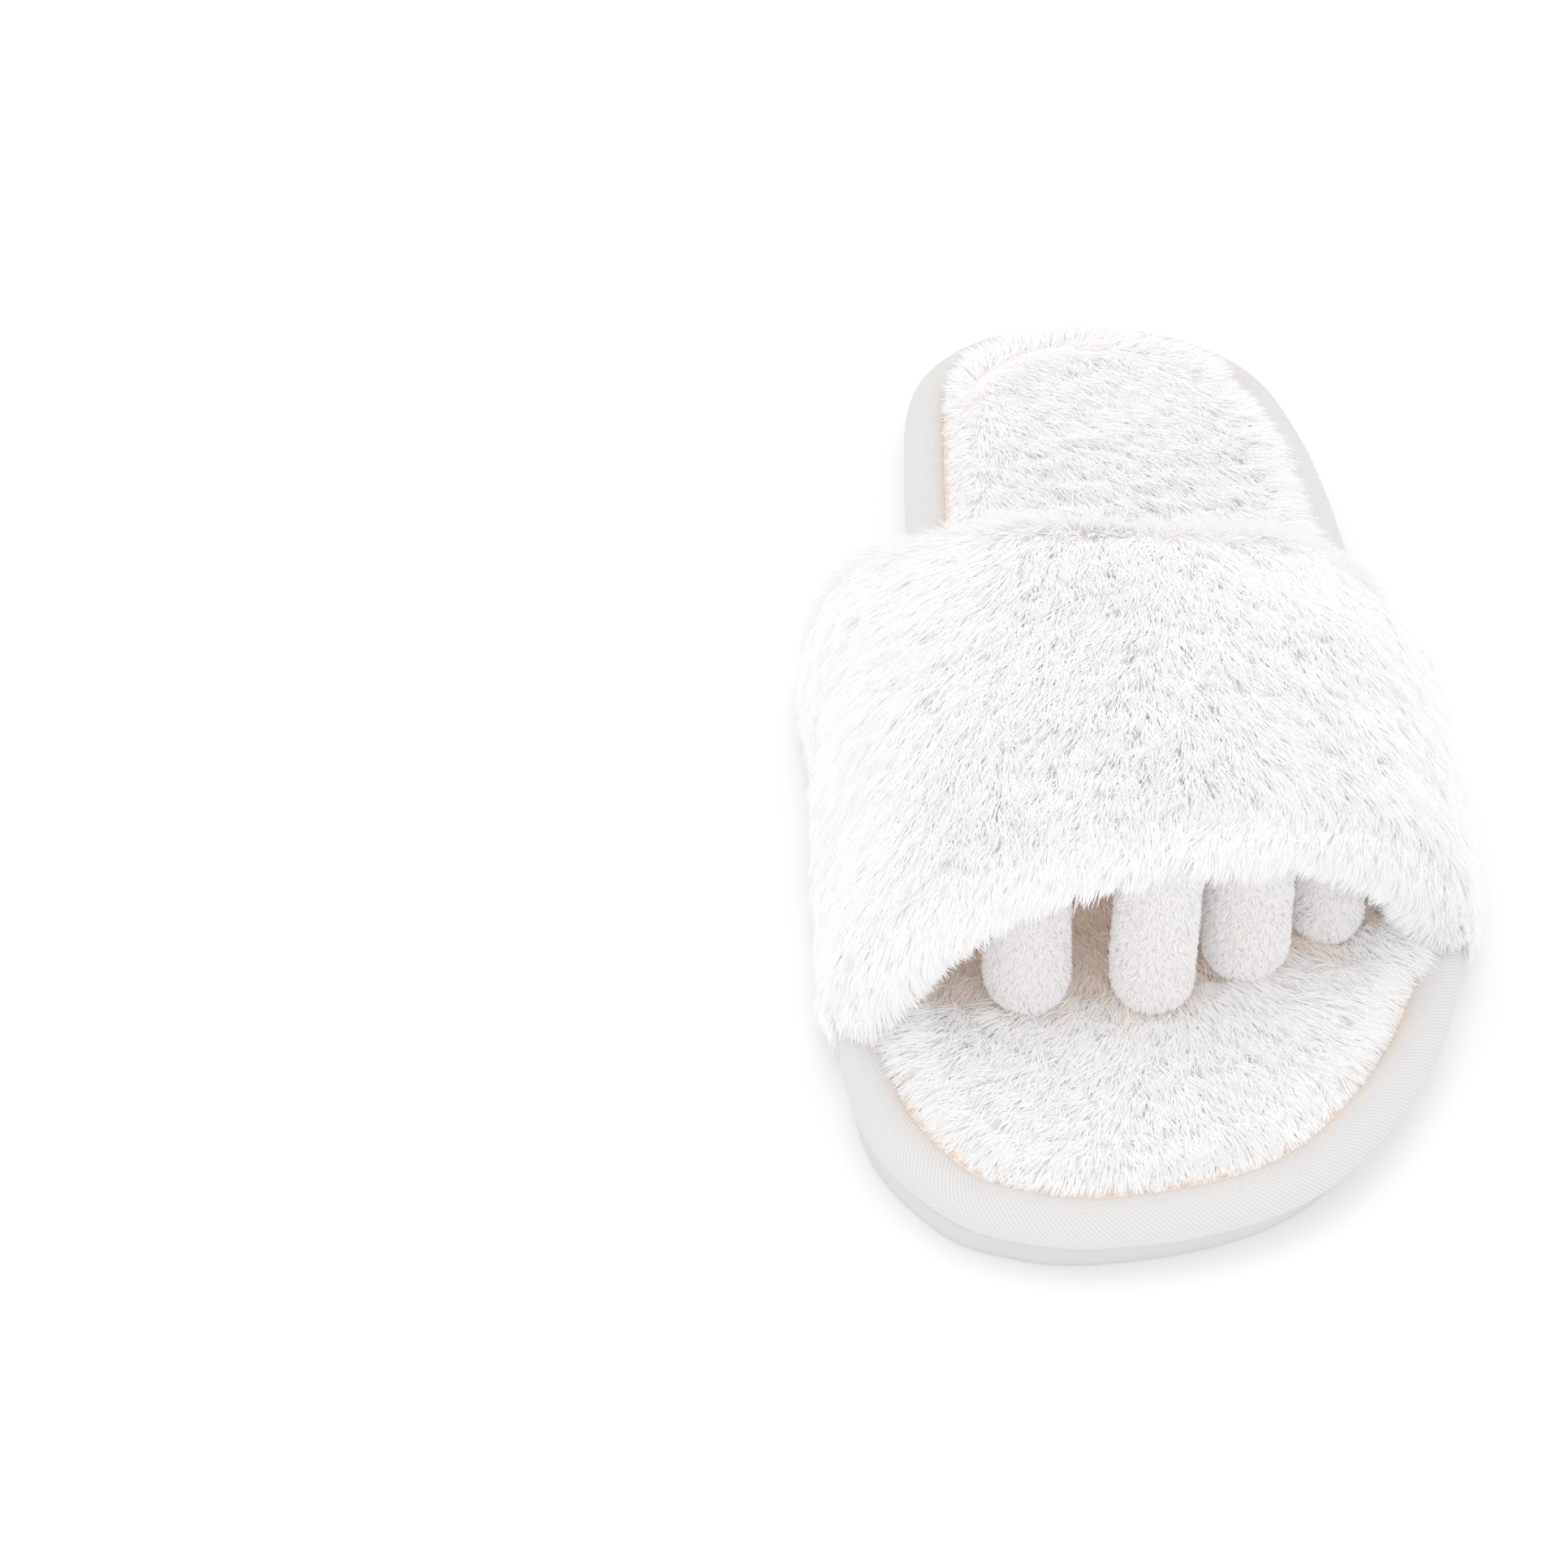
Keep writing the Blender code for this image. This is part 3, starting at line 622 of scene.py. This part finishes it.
def grow_pile(name, coat, ranges, density, tuft_density, seed, surface,
              width=0.30 * MM, tuft_pull=0.2, tuft_yaw=0.2, weight=None, pieces=1):
    """Pile over a surface. coat(a, b) gives roots, normals, comb directions, lengths and the
    lean of each fibre's lower and upper half; tufts draw neighbouring tips together."""
    draw = np.random.default_rng(seed)

    def roots_only(a, b):
        return coat(a, b)[0]

    heads = coat(*scatter(roots_only, ranges, tuft_density, draw, weight))
    head_root, head_normal, head_comb, head_length, head_low, head_high = heads
    swirl = waves(head_root, 28 * MM, seed + 1, 2) * 0.2
    yaw = draw.normal(0, tuft_yaw, len(head_root)) + swirl
    head_comb = turned(head_comb, head_normal, yaw)
    head_length = head_length * draw.uniform(0.88, 1.15, len(head_root))
    bend = draw.normal(0, 0.08, len(head_root))
    head_middle, head_tip = fibre_ends(head_root, head_normal, head_comb, head_length,
                                       head_low + bend, head_high + bend)

    root, normal, comb, length, low, high = coat(*scatter(roots_only, ranges, density, draw,
                                                          weight))
    count = len(root)
    tuft = nearest_index(root, head_root)
    comb = turned(comb, normal, yaw[tuft] + draw.normal(0, 0.2, count))
    length = length * draw.uniform(0.75, 1.08, count)
    low = np.maximum(low + bend[tuft] + draw.normal(0, 0.12, count), 0.0)
    high = high + bend[tuft] + draw.normal(0, 0.15, count)
    middle, tip = fibre_ends(root, normal, comb, length, low, high)
    pull = tuft_pull * draw.uniform(0.55, 1.0, count)
    pull[draw.random(count) < 0.12] *= 0.2
    pull = pull[:, None]
    offset = root - head_root[tuft]
    middle += (head_middle[tuft] + offset * 0.8 - middle) * pull * 0.5
    tip += (head_tip[tuft] + offset * 0.25 - tip) * pull
    for points in (root, middle, tip):
        points[:, 2] = np.maximum(points[:, 2], PILE_LOWEST_Z)
    side = np.cross(normal, comb)
    widths = width * draw.uniform(0.75, 1.2, count)
    order = np.argsort(root[:, 0], kind="stable")
    made = []
    for number, part in enumerate(np.array_split(order, pieces), 1):
        piece_name = name if pieces == 1 else "%s_%d" % (name, number)
        piece = fibres_mesh(piece_name, root[part], middle[part], tip[part], side[part],
                            widths[part], draw)
        made.append(finish_piece(piece, surface))
    return made


# ---------------------------------------------------------------- sock

def sock_surface(loop_share, inward_share):
    """Points of the sock's pile base: loop_share runs round the rim, inward_share goes from
    its edge (0) to the footbed's middle line (1)."""
    station = loop_share * RIM_COUNT
    low = np.floor(station).astype(int)
    share = (station - low)[:, None]
    low = low % RIM_COUNT
    high = (low + 1) % RIM_COUNT
    edge = inset(SOCK_IN)
    outer = edge[low] * (1 - share) + edge[high] * share
    middle = RIM_SPINE[low] * (1 - share) + RIM_SPINE[high] * share
    place = outer + (middle - outer) * inward_share[:, None]
    reach = np.linalg.norm(place - outer, axis=1)
    dip = waves(place, 34 * MM, 21, 2) * 0.5 * MM + waves(place, 9 * MM, 23, 2) * 0.4 * MM
    z = SOCK_EDGE_Z + (SOCK_ROOT_Z - SOCK_EDGE_Z) * np.sqrt(smoothstep(0, 5 * MM, reach))
    z = z + dip * smoothstep(0, 8 * MM, reach)
    return np.column_stack([place, z]), outer, reach


def sock_coat(a, b):
    """Pile of the sock: combed towards the toe, away from the toes at the front, and splayed
    outwards along the seam. It is shorter at the edge, longer at the back and the corners."""
    root, outer, reach = sock_surface(a % 1.0, b)
    step = 1e-3
    ahead = sock_surface((a + step) % 1.0, b)[0] - root
    inwards = sock_surface(a % 1.0, np.minimum(b + step, 1.0))[0] - root
    normal = unit(np.cross(ahead, inwards))
    normal[normal[:, 2] < 0] *= -1
    outward = np.column_stack([unit(outer - root[:, :2] + 1e-9), np.zeros(len(root))])
    edge = 1 - smoothstep(1 * MM, 9 * MM, reach)
    at_back = edge * np.maximum(smoothstep(104 * MM, 122 * MM, outer[:, 1]),
                                smoothstep(15 * MM, 30 * MM, outer[:, 0])
                                * smoothstep(40 * MM, 60 * MM, outer[:, 1]))
    wander = waves(root, 40 * MM, 22, 2)[:, None] * np.array((0.4, 0, 0))
    at_toe = (1 - smoothstep(-85 * MM, -60 * MM, root[:, 1]))[:, None]
    from_toes = np.column_stack([root[:, :2] - SOCK_SWIRL, np.zeros(len(root))])
    comb = np.array((0.45, -1.0, 0.0)) * (1 - at_toe) + unit(from_toes) * at_toe
    comb = comb * (1 - 0.75 * edge - 0.2 * at_back)[:, None] + wander
    comb = comb + outward * (edge * 0.6 + at_back * 0.8)[:, None]
    comb = unit(comb - (comb * normal).sum(1, keepdims=True) * normal)
    ragged = waves(root, 14 * MM, 24, 2)
    length = SOCK_PILE_LENGTH * (1 - 0.48 * edge + 0.5 * at_back + 0.12 * edge * ragged)
    low = 1.32 - 0.27 * edge - 0.3 * at_back
    high = 1.5 - 0.2 * at_back
    for x, y, wide in SOCK_CORNERS:
        near = np.exp(-((root[:, 0] - x) ** 2 + (root[:, 1] - y) ** 2) / wide ** 2)
        length = length + CORNER_EXTRA * near
        low = low - 0.65 * near
        high = high - 0.4 * near
    return root, normal, comb, length, low, high


def under_band(loop_share, inward_share):
    """Share of the sock's pile that lies in the shade behind the toe separators and gets painted
    warm shade colours.
    """
    place = sock_surface(loop_share.ravel() % 1.0, inward_share.ravel())[0]
    front_line = -77 * MM + np.maximum(place[:, 0], 0.0) * 0.6
    share = smoothstep(-4 * MM, 3 * MM, place[:, 1] - front_line) \
        * (1 - smoothstep(-5 * MM, 20 * MM, place[:, 1]))
    return share.reshape(loop_share.shape)


def make_sock():
    shares = np.concatenate([np.linspace(0, 0.12, 12), np.linspace(0.15, 1.0, 40)])
    rings = []
    stations = np.arange(RIM_COUNT) / RIM_COUNT
    for share in shares:
        rings.append(sock_surface(stations, np.full(RIM_COUNT, share))[0])
    points = np.array(rings)
    rim_low = points[0].copy()
    rim_low[:, 2] = 9.6 * MM
    points = np.concatenate([rim_low[None], points])
    pad = grid_object("footbed_sock_pad", points, close_columns=True)
    finish_piece(pad, cloth_material("sock_backing", PILE_ROOT, PILE_SHADE),
                 ["footbed_sock"])
    surface = fibre_material("sock_pile", PILE_ROOT, PILE_SHADE, PILE_WHITE)
    whole = ((0.0, 1.0), (0.0, 1.0))
    grow_pile("footbed_pile", sock_coat, whole, density=8.0e6, tuft_density=0.3e6, seed=31,
              surface=surface, weight=lambda a, b: 1 - under_band(a, b),
              pieces=6)
    # Painted shade: the pile behind the toe separators is white like the rest; the warm colours
    # stand in for the cavity's shade.
    warm = fibre_material("sock_pile_painted_shade", WARM_ROOT, WARM_SHADE, WARM_TIP)
    grow_pile("footbed_pile_under_band", sock_coat, whole, density=6.0e6, tuft_density=0.3e6,
              seed=35, surface=warm, weight=under_band, pieces=2)


# ---------------------------------------------------------------- band

def band_point(share, turn, depth):
    """Points of the band, by the CAD's rule: share from its front to its rear edge, turn from
    0 at the little-toe side to pi at the other, depth in from its outer surface."""
    lateral = (np.cos(turn) + 1) / 2
    square = bezier(BAND_SQUARE_MEDIAL, share) * (1 - lateral) \
        + bezier(BAND_SQUARE_LATERAL, share) * lateral
    across = np.sign(np.cos(turn)) * np.abs(np.cos(turn)) ** (2 / square)
    rise = np.abs(np.sin(turn)) ** (2 / square)
    medial_x = bezier(BAND_MEDIAL_X, share) + depth
    lateral_x = bezier(BAND_LATERAL_X, share) - depth
    medial_y = bezier(BAND_MEDIAL_Y, share)
    lateral_y = bezier(BAND_LATERAL_Y, share)
    sweep = bezier(BAND_SWEEP_MEDIAL, share) * (1 - lateral) \
        + bezier(BAND_SWEEP_LATERAL, share) * lateral
    x = (medial_x + lateral_x) / 2 + (lateral_x - medial_x) / 2 * across
    x = x + bezier(BAND_LEAN, share) * rise
    y = medial_y + (lateral_y - medial_y) * (across + 1) / 2
    y = y + (bezier(BAND_TOP_Y, share) - (medial_y + lateral_y) / 2) * rise ** sweep
    base_z = BAND_BASE_Z + np.maximum(0.0, depth - FUR_DEPTH)
    z = base_z + (bezier(BAND_TOP_Z, share) - depth - base_z) * rise
    return np.stack([x, y, z], -1)


# Path round the band's section, as shares of its length: inner front return, front roll,
# outer face, rear roll, inner rear return.
ROUND_STOPS = (0.0, 0.045, 0.19, 0.81, 0.955, 1.0)


def band_round(path, turn, depth):
    """Points on a skin that wraps round the band's edges, depth below the pile's surface."""
    half = WALL_DEPTH / 2
    mirrored = path > 0.5
    near = np.where(mirrored, 1 - path, path)
    inner = near < ROUND_STOPS[1]
    roll = (near >= ROUND_STOPS[1]) & (near < ROUND_STOPS[2])
    share = EDGE_ROLL + (near - ROUND_STOPS[2]) / (0.5 - ROUND_STOPS[2]) * (0.5 - EDGE_ROLL)
    deep = depth + np.zeros_like(path)
    inner_share = FUR_RETURN + (EDGE_ROLL - FUR_RETURN) * near / ROUND_STOPS[1]
    share = np.where(inner, inner_share, share)
    deep = np.where(inner, WALL_DEPTH - depth, deep)
    angle = math.pi * (near - ROUND_STOPS[1]) / (ROUND_STOPS[2] - ROUND_STOPS[1])
    shrink = 1 - depth / half
    share = np.where(roll, EDGE_ROLL * (1 - shrink * np.sin(angle)), share)
    deep = np.where(roll, half + (half - depth) * np.cos(angle), deep)
    share = np.where(mirrored, 1 - share, share)
    return band_point(share, turn, deep)


def pile_depth(turn):
    """How deep the pile is rooted: shallow beside the rim, full over the foot."""
    from_base = np.minimum(turn, math.pi - turn)
    return PILE_DEPTH_LOW + (PILE_DEPTH - PILE_DEPTH_LOW) * smoothstep(0.0, 0.45, from_base)


def clear_of_footbed(points):
    """Moves what would lie inside the footbed out to its side or up onto it, whichever is
    nearer."""
    flat = points.reshape(-1, 3).copy()
    flat[:, 2] = np.maximum(flat[:, 2], BAND_BASE_Z)
    low = np.flatnonzero(flat[:, 2] < FOOTBED_TOP_Z)
    inside, station = rim_distance(flat[low, :2])
    out = inside + RIM_GAP
    sideways = (out > 0) & (out < np.minimum(SIDE_STEP, FOOTBED_TOP_Z - flat[low, 2]))
    upwards = (out > 0) & ~sideways
    flat[low[sideways], :2] -= (RIM_INWARD[station] * out[:, None])[sideways]
    flat[low[upwards], 2] = FOOTBED_TOP_Z
    return flat.reshape(points.shape)


def band_root(path, turn):
    """Roots of the band's pile, on a base that swells and dips a little. It is drawn in under
    the lip, above the smaller toes, and along the big toe's side, and stands proud along the
    rear edge's crest and the other side's shoulder."""
    under_lip = (1 - smoothstep(0.10, 0.15, path)) * smoothstep(0.02, 0.05, path)
    small_toes = smoothstep(0.3, 0.9, turn) * (1 - smoothstep(1.5, 2.3, turn))
    crest = smoothstep(0.62, 0.80, path) * (1 - smoothstep(0.88, 0.96, path))
    flank = smoothstep(2.1, 2.7, turn) * (1 - 0.7 * smoothstep(2.85, 3.1, turn)) \
        * smoothstep(0.22, 0.42, path) * (1 - smoothstep(0.62, 0.82, path))
    shoulder = smoothstep(0.15, 0.4, turn) * (1 - smoothstep(0.8, 1.1, turn)) \
        * smoothstep(0.45, 0.65, path) * (1 - smoothstep(0.88, 0.96, path))
    depth = pile_depth(turn) + LIP_DRAWN_IN * under_lip * small_toes \
        + FLANK_DRAWN_IN * flank - SHOULDER_RISE * shoulder \
        - CREST_RISE * crest * smoothstep(0.9, 2.0, turn)
    plain = band_round(path, turn, depth)
    relief = waves(plain, 30 * MM, 41, 2) * 0.6 * MM + waves(plain, 8 * MM, 43, 2) * 0.25 * MM
    return band_round(path, turn, depth - relief)


def band_coat(path, turn):
    """Pile of the band: brushed forwards and across, hanging over the lip, shorter at the rim
    and the edges, and less flat on the rear roll."""
    root = clear_of_footbed(band_root(path, turn))
    outer = band_round(path, turn, pile_depth(turn) - 1.0 * MM)
    normal = unit(outer - band_round(path, turn, pile_depth(turn)))
    down = np.zeros_like(root)
    down[:, 2] = -1.0
    over = unit(band_round(path, turn + 0.01, 1 * MM) - band_round(path, turn - 0.01, 1 * MM))
    wander = waves(root, 40 * MM, 42, 2) * 0.25
    brushed = bezier(BRUSHED_ACROSS, turn / math.pi) + bezier(BRUSHED_ALONG, path)
    comb = turned(over, normal, brushed + wander)
    comb = unit(comb - (comb * normal).sum(1, keepdims=True) * normal)
    near_lip = 1 - smoothstep(0.18, 0.25, path)
    on_lip = near_lip * smoothstep(0.11, 0.14, path)
    ahead = unit(band_round(np.full_like(path, 0.2), turn, 1 * MM)
                 - band_round(np.full_like(path, 0.26), turn, 1 * MM))
    hang = unit(ahead + down * 0.2 + over * 0.35)
    comb = unit(comb * (1 - on_lip[:, None]) + hang * on_lip[:, None])
    share = pile_depth(turn) / PILE_DEPTH
    length = BAND_PILE_LENGTH * (0.55 + 0.45 * share) * (1 - 0.4 * on_lip)
    inside = (path < ROUND_STOPS[1]) | (path > ROUND_STOPS[4])
    length = np.where(inside, length * 0.5, length)
    length = length * (1 - 0.4 * (1 - smoothstep(0.09, 0.14, path)))
    length = length * (1 - 0.25 * smoothstep(0.80, 0.84, path) * (1 - smoothstep(1.0, 1.8, turn)))
    low = 1.2 + 0.05 * (1 - share)
    high = 1.48 + 0.02 * (1 - share)
    rolled = (path < ROUND_STOPS[2]) | (path > ROUND_STOPS[3])
    behind = smoothstep(0.81, 0.87, path)
    low = np.where(rolled, low + 0.1, low) - 0.45 * behind
    return root, normal, comb, length, low, high - 0.25 * behind


def make_band():
    path = np.concatenate([np.linspace(0, 0.2, 34), np.linspace(0.21, 0.79, 90),
                           np.linspace(0.8, 1.0, 34)])
    turn = np.linspace(0.0, math.pi, 240)
    grid_path, grid_turn = np.meshgrid(path, turn, indexing="ij")
    points = band_root(grid_path.ravel(), grid_turn.ravel()).reshape(*grid_path.shape, 3)
    base = grid_object("band_plush_base", clear_of_footbed(points), flip=True)
    finish_piece(base, cloth_material("band_backing", PILE_ROOT, PILE_SHADE),
                 ["upper_fur"])

    surface = fibre_material("band_pile", PILE_ROOT, PILE_SHADE, PILE_WHITE)

    def clear_of_rim(path_mid, turn_mid):
        """No pile where the band's inner face stands on the footbed."""
        spot = band_root(path_mid.ravel(), turn_mid.ravel())
        inside = rim_distance(spot[:, :2])[0].reshape(path_mid.shape)
        low = spot[:, 2].reshape(path_mid.shape) < 13 * MM
        inner = (path_mid < ROUND_STOPS[1]) | (path_mid > ROUND_STOPS[4])
        return np.where(inner & (inside > 0) & low, 0.0, 1.0)

    ends = (0.03, math.pi - 0.03)
    grow_pile("band_pile", band_coat, ((RETURN_PATH, 1.0), ends), density=8.2e6,
              tuft_density=0.25e6, seed=51, surface=surface,
              weight=clear_of_rim, pieces=7)
    # Painted shade: the pile on the front edge's inner return gets warm colours for the shade
    # inside the band.
    warm = fibre_material("band_pile_painted_shade", WARM_ROOT, WARM_SHADE, WARM_TIP)
    grow_pile("band_pile_inside", band_coat, ((0.0, RETURN_PATH), ends), density=6.0e6,
              tuft_density=0.25e6, seed=52, surface=warm, weight=clear_of_rim)


def lining_coat(share, turn):
    """Short pile of the lining, on the foot side."""
    root = band_point(share, turn, WALL_DEPTH - 0.6 * MM)
    normal = unit(band_point(share, turn, WALL_DEPTH + 0.4 * MM) - root)
    forward = unit(band_point(share - 0.01, turn, WALL_DEPTH)
                   - band_point(share + 0.01, turn, WALL_DEPTH))
    count = len(root)
    return (root, normal, forward, np.full(count, 2.6 * MM), np.full(count, 0.4),
            np.full(count, 0.9))


def make_lining():
    share = np.linspace(FUR_RETURN - 0.01, 1.01 - FUR_RETURN, 60)
    turn = np.linspace(0.0, math.pi, 200)
    grid_share, grid_turn = np.meshgrid(share, turn, indexing="ij")
    points = band_point(grid_share, grid_turn, np.full_like(grid_share, WALL_DEPTH - 0.5 * MM))
    lining = grid_object("band_lining", clear_of_footbed(points))
    # The lining's warm colours are partly its own peach tone, partly painted shade of the foot
    # cavity.
    finish_piece(lining, cloth_material("lining_backing", WARM_ROOT, WARM_SHADE),
                 ["upper_lining"])
    warm = fibre_material("lining_pile", WARM_ROOT, WARM_SHADE, WARM_TIP)
    grow_pile("lining_pile", lining_coat, ((FUR_RETURN, 1 - FUR_RETURN), (0.35, math.pi - 0.35)),
              density=2.1e6, tuft_density=0.4e6, seed=61, surface=warm,
              tuft_pull=0.4)


# ---------------------------------------------------------------- toe separators

def separator_middle(number):
    low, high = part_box("toe_separator_cover_%d" % number)
    return (low + high) / 2, low.z, high.z


def separator_surface(number):
    """Function that gives points of one separator: height share 0 at its foot to 1 at its
    top, and the angle round it."""
    middle, foot, top = separator_middle(number)
    dome = SEPARATOR_RADII[number - 1]
    top_z = top + 3.0 * MM
    length = dome * math.pi / 2 + (top_z - foot - dome)

    def place(height, turn):
        along = height * length
        angle = np.minimum(along / dome, math.pi / 2)
        radius = dome * np.sin(angle)
        z = np.where(along < dome * math.pi / 2, foot + dome * (1 - np.cos(angle)),
                     foot + dome + along - dome * math.pi / 2)
        sway = np.sin((z - foot) * 120 + number * 2.1) * 0.3 * MM
        ahead = 1.8 * MM * (1 - smoothstep(foot, top_z, z))
        lumps = waves(np.stack([np.cos(turn) * 7 * MM, np.sin(turn) * 7 * MM, z], -1),
                      18 * MM, 70 + number, 2) * 0.2 * MM * np.sin(angle)
        radius = radius + lumps
        return np.stack([middle.x + sway + radius * np.cos(turn),
                         middle.y - ahead + radius * np.sin(turn), z - SEPARATOR_SINK], -1)

    return place


def make_separators():
    # The separators' backing and pile are darker and warmer than the band's: partly their own tone,
    # partly painted shade under the lip.
    surface = cloth_material("separator_backing", (0.82, 0.76, 0.71), (0.86, 0.81, 0.77))
    pile = fibre_material("separator_pile", (0.83, 0.79, 0.755), (0.865, 0.855, 0.845),
                          (0.88, 0.88, 0.885))
    for number in (1, 2, 3, 4):
        place = separator_surface(number)
        rows = 60
        columns = 64
        height, turn = np.meshgrid(np.linspace(0.01, 1, rows), np.arange(columns) / columns * TAU,
                                   indexing="ij")
        points = place(height.ravel(), turn.ravel()).reshape(rows, columns, 3)
        body = grid_object("toe_separator_%d" % number, points, close_columns=True)
        finish_piece(body, surface,
                     ["toe_separator_cover_%d" % number, "separator_top_stitch_%d" % number])

        def coat(share, around, place=place):
            root = place(share, around)
            ahead = place(share + 0.002, around) - place(share - 0.002, around)
            across = place(share, around + 0.01) - place(share, around - 0.01)
            normal = unit(np.cross(across, ahead))
            comb = unit(-ahead)
            count = len(root)
            return (root, normal, comb, np.full(count, 1.6 * MM), np.full(count, 0.5),
                    np.full(count, 1.0))

        grow_pile("toe_separator_pile_%d" % number, coat, ((0.01, 0.99), (0.0, TAU)),
                  density=13e6, tuft_density=0.7e6, seed=80 + number, surface=pile,
                  width=0.24 * MM, tuft_pull=0.1, tuft_yaw=0.5)


# ---------------------------------------------------------------- small and hidden pieces

def dress_hidden_pieces():
    """Materials for the CAD pieces that stay: threads, fillings, boards and foams."""
    thread = thread_material("cream_thread", (0.70, 0.60, 0.50), (0.86, 0.80, 0.72))
    foam = cloth_material("foam", (0.86, 0.80, 0.66), (0.92, 0.87, 0.76), 0.95, 500.0)
    board = cloth_material("fibre_board", (0.45, 0.33, 0.22), (0.58, 0.45, 0.31), 0.9, 700.0)
    filler = cloth_material("dark_foam", (0.18, 0.18, 0.20), (0.28, 0.28, 0.30), 0.9, 500.0)
    stuffing = cloth_material("stuffing", (0.88, 0.88, 0.86), (0.95, 0.95, 0.94), 1.0, 300.0)
    kinds = (("stitch", thread), ("thread", thread), ("foam", foam), ("padding", foam),
             ("board", board), ("filler", filler), ("fill", stuffing))
    for name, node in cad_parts.items():
        for word, surface in kinds:
            if word in name:
                node.data.materials.clear()
                node.data.materials.append(surface)
                break


# ---------------------------------------------------------------- stage

def make_stage():
    mesh = bpy.data.meshes.new("floor")
    size = 6.0
    mesh.from_pydata([(-size, -size, 0), (size, -size, 0), (size, size, 0), (-size, size, 0)],
                     [], [(0, 1, 2, 3)])
    floor = bpy.data.objects.new("floor", mesh)
    bpy.context.scene.collection.objects.link(floor)
    surface, _, shader = new_material("pale_floor", 0.9)
    shader.inputs["Base Color"].default_value = (0.98, 0.98, 0.98, 1.0)
    mesh.materials.append(surface)

    world = bpy.data.worlds.new("studio")
    world.use_nodes = True
    background = world.node_tree.nodes["Background"]
    background.inputs["Color"].default_value = (1.0, 1.0, 1.0, 1.0)
    background.inputs["Strength"].default_value = 0.95
    bpy.context.scene.world = world
    # White pile passes light on from fibre to fibre many times.
    bpy.context.scene.cycles.diffuse_bounces = 12

    for name, place, size, power in (("overhead", (-0.1, 0.1, 1.3), 1.2, 3.4),
                                     ("front_fill", (-0.06, -1.25, 0.5), 0.7, 2.0)):
        light = bpy.data.lights.new(name, "AREA")
        light.shape = "DISK"
        light.size = size
        light.energy = power
        light.color = (1.0, 0.995, 0.985)
        lamp = bpy.data.objects.new(name, light)
        bpy.context.scene.collection.objects.link(lamp)
        lamp.location = place
        lamp.rotation_euler = Vector(place).to_track_quat("Z", "Y").to_euler()


def make_camera():
    """Camera at the photograph's angle: 36 degrees up, looking along the slipper."""
    data = bpy.data.cameras.new("camera")
    data.lens = 119.8
    data.sensor_width = 36.0
    data.clip_end = 20.0
    camera = bpy.data.objects.new("camera", data)
    bpy.context.scene.collection.objects.link(camera)
    target = Vector((-0.0605, 0.0, 0.0))
    camera.location = Vector((-0.0605, -0.7411, 0.5384))
    camera.rotation_euler = (camera.location - target).to_track_quat("Z", "Y").to_euler()
    bpy.context.scene.camera = camera


def main():
    make_camera()
    make_outsole()
    make_binding()
    make_seam()
    make_sock()
    make_band()
    make_lining()
    make_separators()
    dress_hidden_pieces()
    make_stage()
    view = bpy.context.scene.view_settings
    view.view_transform = "Standard"
    view.gamma = 2.0


main()
